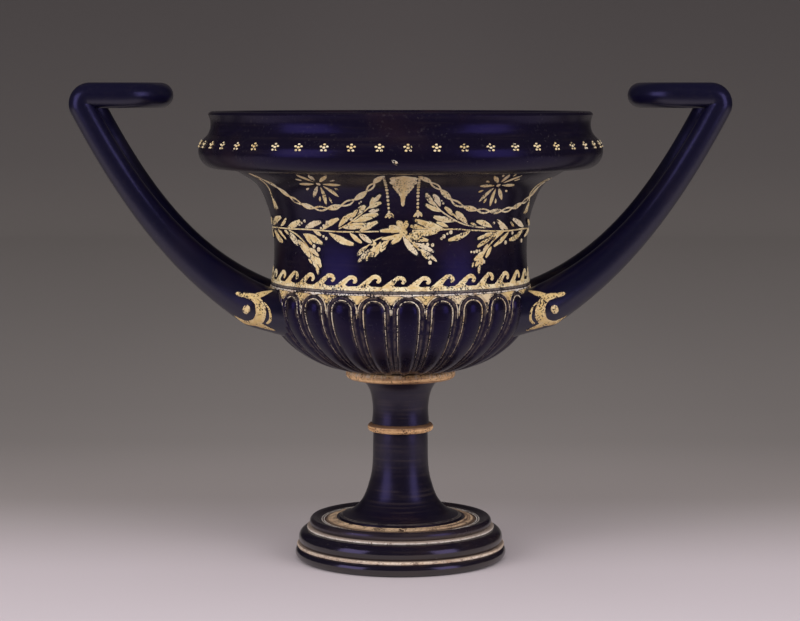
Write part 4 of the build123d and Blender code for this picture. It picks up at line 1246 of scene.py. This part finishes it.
def painted_bowl():
    """Slip on the bowl: a line round its shoulder and one round the seam above it, a line in the groove
    round each petal, a line round each arch, and a filled corner between neighbouring arches."""
    made, filled = [], []
    piece("shoulder_line", [hoop(on_bowl, *SHOULDER_LINE)], arch_slip, wrap_rows=True)
    piece("seam_line", [hoop(on_neck, *SEAM_LINE)], seam_slip, wrap_rows=True)
    theta = np.linspace(-90, 90, 25) * DEGREE

    def arch(share, tail):
        """An arch with two straight sides and a tail of some length, by a share of a tongue's half width."""
        side = np.linspace(ARCH_CENTRE + tail, ARCH_CENTRE, 26)[:-1]
        across = share * 180 / TONGUES
        left = np.stack([0 * side - across, side], 1)
        top = np.stack([across * np.sin(theta), ARCH_CENTRE - share * ARCH_HALF * np.cos(theta)], 1)
        path = np.concatenate([left, top, left[::-1] * [-1, 1]])
        fall = np.clip((path[:, 1] - ARCH_CENTRE) / tail, 0, 1)
        widths = ARCH_LINE + (ARCH_TAIL - ARCH_LINE) * fall
        widths[[0, -1]] = 0
        return path, widths

    def place(path, widths, relief, rough, points=3):
        """A stroke along a path of (degrees, drop)."""
        return stroke(path * [FLAT_RADIUS * DEGREE, 1], widths, relief, rough, points=points)

    corner = np.linspace(0.7, ARCH_CENTRE - 3.2, 19)
    gap = ARCH_HALF - np.sqrt(np.clip((0.97 * ARCH_HALF) ** 2 - (ARCH_CENTRE - corner) ** 2, 0, None))
    gap[[0, -1]] = 0
    for i in range(TONGUES):
        middle = i * 360 / TONGUES + TONGUE_TURN
        inner = arch(GROOVE_SHARE, 22 + 8 * hand.uniform(-1, 1))
        outer = arch(OUTER_SHARE, 3 + 2 * hand.uniform(-1, 1))
        for path, widths in (inner, outer):
            made.append(place(path + [middle, 0], widths, ARCH_LINE_RELIEF, 0.2))
        cusp = np.stack([0 * corner + middle + 180 / TONGUES, corner], 1)
        filled.append(place(cusp, np.clip(gap - 0.2, 0, None), CORNER_RELIEF, 0.08, 21))
    laid("arch_lines", made, on_bowl, arch_slip, crease=60)
    laid("arch_corners", filled, on_bowl, root_slip, crease=60)


def painted_roots():
    """On each root, in millimetres along the arm and round it: a crescent of slip that curls about a
    pellet from the arm's side to its underside, with a horn up to the neck, a tail down to the bowl and a
    thin line behind."""
    crescent = smooth([(10.4, 1.1), (6.5, 2.2), (3.0, 3.4), (-0.2, 3.8), (-2.7, 2.2), (-3.9, -0.6),
                       (-4.2, -3.6), (-3.7, -6.9), (-2.0, -9.8), (1.6, -11.0), (6.3, -11.3)], 60)
    crescent_width = width_along(60, [0, 0.02, 0.11, 0.22, 0.31, 0.39, 0.48, 0.57, 0.67, 0.76, 0.87, 1],
                                 [0, 0.9, 1.1, 1.5, 1.9, 1.65, 1.4, 1.2, 1.2, 1.5, 1.3, 0])
    horn = smooth([(0.6, 4.0), (-2.4, 8.0), (-5.4, 12.2)], 16)
    tail = smooth([(-2.8, -8.0), (-5.0, -9.2), (-7.6, -10.0)], 16)
    taper = width_along(16, [0, 0.1, 0.5, 0.95, 1], [0, 1.8, 1.3, 0.5, 0])
    behind = smooth([(-4.0, 3.6), (-5.7, 1.5), (-6.4, -1.0), (-6.5, -4.0), (-5.8, -6.8)], 30)
    strokes = ((crescent, crescent_width), (horn, taper), (tail, taper), (behind, 0.28 * rounded(30, 20)))

    def on_root(flat):
        """A stroke's points on the arm, and past the arm's end on the pad."""
        turn = flat[..., 1] / ROOT_ROD_RADIUS
        arm = on_arm(np.clip(flat[..., 0], 0, None) / ARM_LENGTH, turn, flat[..., 2])
        pad = on_pad(np.clip(-flat[..., 0] / PAD_RUN, 0, 1), turn, flat[..., 2])
        return np.where(flat[..., :1] >= 0, arm, pad)

    pellet = (PELLET_STATION * ARM_LENGTH, -PELLET_DROOP * DEGREE * ROOT_ROD_RADIUS)
    flats, made, dabs, pellets = [], [], [], []
    for _, side, place in HANDLE_CORNERS:
        for path, widths in strokes:
            flats.append(stroke(path, widths, rough=0.06, tone=0.0))
            made.append(mirrored(on_root(flats[-1]), side, place))
        dabs.append(dot(pellet, PELLET_RADIUS, PELLET_RELIEF, 0.3))
        pellets.append(mirrored(on_root(dabs[-1]), side, place))
    painted("root_crescents", made, flats, root_slip)
    painted("slip_pellets", pellets, dabs, root_slip, ["root_pellets"])


foot()
stem()
bowl()
neck()
lip()
handles()
painted_neck()
painted_lip()
painted_bowl()
painted_roots()

# Camera: in front of the cup, a little above its middle and tipped down, in the photograph's frame
IMAGE_WIDTH = 800
EYE_DISTANCE = 1.034
EYE_HEIGHT = 0.2176
AIM_HEIGHT = 0.117
FOCAL_PIXELS = 2210.4
AXIS_OFFSET_PIXELS = 0.5
SENSOR_WIDTH = 36.0


def photograph_camera():
    """A camera on the cup's front axis that looks at a point on the cup's own axis."""
    data = bpy.data.cameras.new("camera")
    data.sensor_width = SENSOR_WIDTH
    data.lens = FOCAL_PIXELS * SENSOR_WIDTH / IMAGE_WIDTH
    data.shift_x = -AXIS_OFFSET_PIXELS / IMAGE_WIDTH
    camera = bpy.data.objects.new("camera", data)
    camera.location = (0, -EYE_DISTANCE, EYE_HEIGHT)
    way = Vector((0, EYE_DISTANCE, AIM_HEIGHT - EYE_HEIGHT))
    camera.rotation_euler = way.to_track_quat("-Z", "Y").to_euler()
    bpy.context.collection.objects.link(camera)
    bpy.context.scene.camera = camera


def softbox(name, azimuth, elevation, distance, width, height, power, colour=(1, 1, 1), in_gloss=False):
    """A soft rectangular light at an angle round the cup from the camera's side, turned to the cup. It
    either lights the cup or is only seen in the gloss."""
    data = bpy.data.lights.new(name, "AREA")
    data.shape = "RECTANGLE"
    data.size = width
    data.size_y = height
    data.energy = power
    data.color = colour
    light = bpy.data.objects.new(name, data)
    turn = math.radians(azimuth)
    rise = math.radians(elevation)
    way = Vector((math.sin(turn) * math.cos(rise), -math.cos(turn) * math.cos(rise), math.sin(rise)))
    light.location = Vector((0, 0, AIM_HEIGHT)) + way * distance
    light.rotation_euler = (-way).to_track_quat("-Z", "Y").to_euler()
    light.visible_glossy = in_gloss
    light.visible_diffuse = not in_gloss
    light.visible_camera = False
    bpy.context.collection.objects.link(light)


# Floor in metres: where it starts and where its sweep does, the sweep's radius, the backdrop's top and the
# half width; then the depths and the side that its painted light runs over, and the tooth of the paper
FLOOR_FRONT, SWEEP_START, SWEEP, BACKDROP_TOP, FLOOR_HALF_WIDTH = -1.6, 2.4, 0.8, 3.0, 3.2
FLOOR_NEAR, FLOOR_FAR, FLOOR_SIDE, PAPER_TOOTH = -0.8, 3.2, 2.0, 900.0
# Painted light on the floor: tones by depth paint a pool of light round the cup, dark in front of it and
# dimmer towards the back; the row after it paints the light falling off towards the sides.
FLOOR_PAINTED_LIGHT = ((-0.50, (0.08, 0.072, 0.075)), (-0.30, (0.20, 0.175, 0.185)), (-0.15, (0.650, 0.572, 0.609)),
               (-0.03, (0.606, 0.529, 0.559)), (0.06, (0.478, 0.417, 0.428)), (0.15, (0.345, 0.302, 0.295)),
               (0.35, (0.252, 0.224, 0.215)), (0.50, (0.240, 0.214, 0.205)), (1.20, (0.248, 0.222, 0.213)),
               (1.90, (0.262, 0.234, 0.224)), (2.42, (0.275, 0.246, 0.235)), (2.62, (0.228, 0.203, 0.195)),
               (2.80, (0.180, 0.160, 0.156)), (3.08, (0.133, 0.117, 0.117)))
FLOOR_PAINTED_FALLOFF = ((0.0, 1.0), (0.12, 0.985), (0.26, 0.935), (0.42, 0.925), (0.95, 0.925), (1.65, 0.14))


def tone_ramp(tree, value, start, end, stops):
    """A colour read off a row of stops, whose places run from a start to an end."""
    share = put(tree, "MapRange", {"Value": value, "From Min": start, "From Max": end}).outputs[0]
    ramp = put(tree, "ValToRGB", {"Fac": share})
    marks = ramp.color_ramp.elements
    for i, (place, colour) in enumerate(stops):
        mark = marks[i] if i < 2 else marks.new(1.0)
        mark.position = (place - start) / (end - start)
        mark.color = (*np.broadcast_to(colour, 3), 1)
    return ramp.outputs[0]


def studio_floor():
    """A pale floor that runs back and sweeps up into a grey backdrop: flat, a quarter round, then upright.
    Its colour
    carries painted light: a pool of light round the cup that darkens towards the front, the back and the
    sides.
    """
    quarter = np.linspace(0, math.pi / 2, 20)[1:]
    flat, upright = np.linspace(FLOOR_FRONT, SWEEP_START, 60), np.linspace(SWEEP, BACKDROP_TOP, 13)[1:]
    run = np.concatenate([flat, SWEEP_START + SWEEP * np.sin(quarter), 0 * upright + SWEEP_START + SWEEP])
    rise = np.concatenate([0 * flat, SWEEP - SWEEP * np.cos(quarter), upright])
    across = np.linspace(-FLOOR_HALF_WIDTH, FLOOR_HALF_WIDTH, 41)
    grid = np.stack(np.broadcast_arrays(across[None, :], run[:, None], rise[:, None]), -1)
    mesh = bpy.data.meshes.new("floor")
    mesh.from_pydata(grid.reshape(-1, 3), [], quads(len(run), len(across), False, False))
    mesh.flip_normals()
    mesh.shade_smooth()
    material, tree, shader, place = new_material("floor_paper")
    across, depth, _ = put(tree, "SeparateXYZ", {"Vector": place}).outputs
    # Painted light: the floor's colour is darkened by depth and towards the sides, as the lamps' light falls
    # off.
    tone = tone_ramp(tree, depth, FLOOR_NEAR, FLOOR_FAR, FLOOR_PAINTED_LIGHT)
    spread = tone_ramp(tree, calc(tree, "ABSOLUTE", across), 0.0, FLOOR_SIDE, FLOOR_PAINTED_FALLOFF)
    floor_painted_light = put(tree, "Mix", {0: 1.0, 6: tone, 7: spread}, data_type="RGBA", blend_type="MULTIPLY").outputs[2]
    tooth = times(tree, noise(tree, place, PAPER_TOOTH, 2.0), 0.05)
    tree.links.new(tint(tree, tooth, floor_painted_light, (0.4, 0.38, 0.39)), shader.inputs["Base Color"])
    shader.inputs["Roughness"].default_value = 0.9
    shader.inputs["Specular IOR Level"].default_value = 0.1
    mesh.materials.append(material)
    floor = bpy.data.objects.new("floor", mesh)
    bpy.context.collection.objects.link(floor)


def soft_room(light, seen):
    """An even room light, which the camera and the gloss see only as a dim one."""
    world = bpy.data.worlds.new("soft_room")
    bpy.context.scene.world = world
    world.use_nodes = True
    tree = world.node_tree
    path = put(tree, "LightPath").outputs
    direct = calc(tree, "MAXIMUM", path["Is Camera Ray"], path["Is Glossy Ray"])
    strength = put(tree, "MapRange", {"Value": direct, "To Min": light, "To Max": seen}).outputs[0]
    tree.links.new(strength, tree.nodes["Background"].inputs["Strength"])
    tree.nodes["Background"].inputs["Color"].default_value = (1.0, 0.98, 0.98, 1)


VIOLET_LIGHT = (0.47, 0.41, 1.0)
photograph_camera()
studio_floor()
softbox("left_key", -48, 22, 1.3, 0.8, 0.8, 7.9)
softbox("right_key", 48, 22, 1.3, 0.8, 0.8, 6.7)
softbox("front_fill", 0, 56, 1.3, 1.0, 0.8, 3.0)
softbox("left_glow", -55.5, 13, 1.2, 0.66, 0.86, 3.1, VIOLET_LIGHT, True)
softbox("right_glow", 51.5, 13, 1.2, 0.56, 0.86, 2.6, VIOLET_LIGHT, True)
soft_room(0.56, 0.03)

bpy.context.scene.view_settings.view_transform = "Standard"
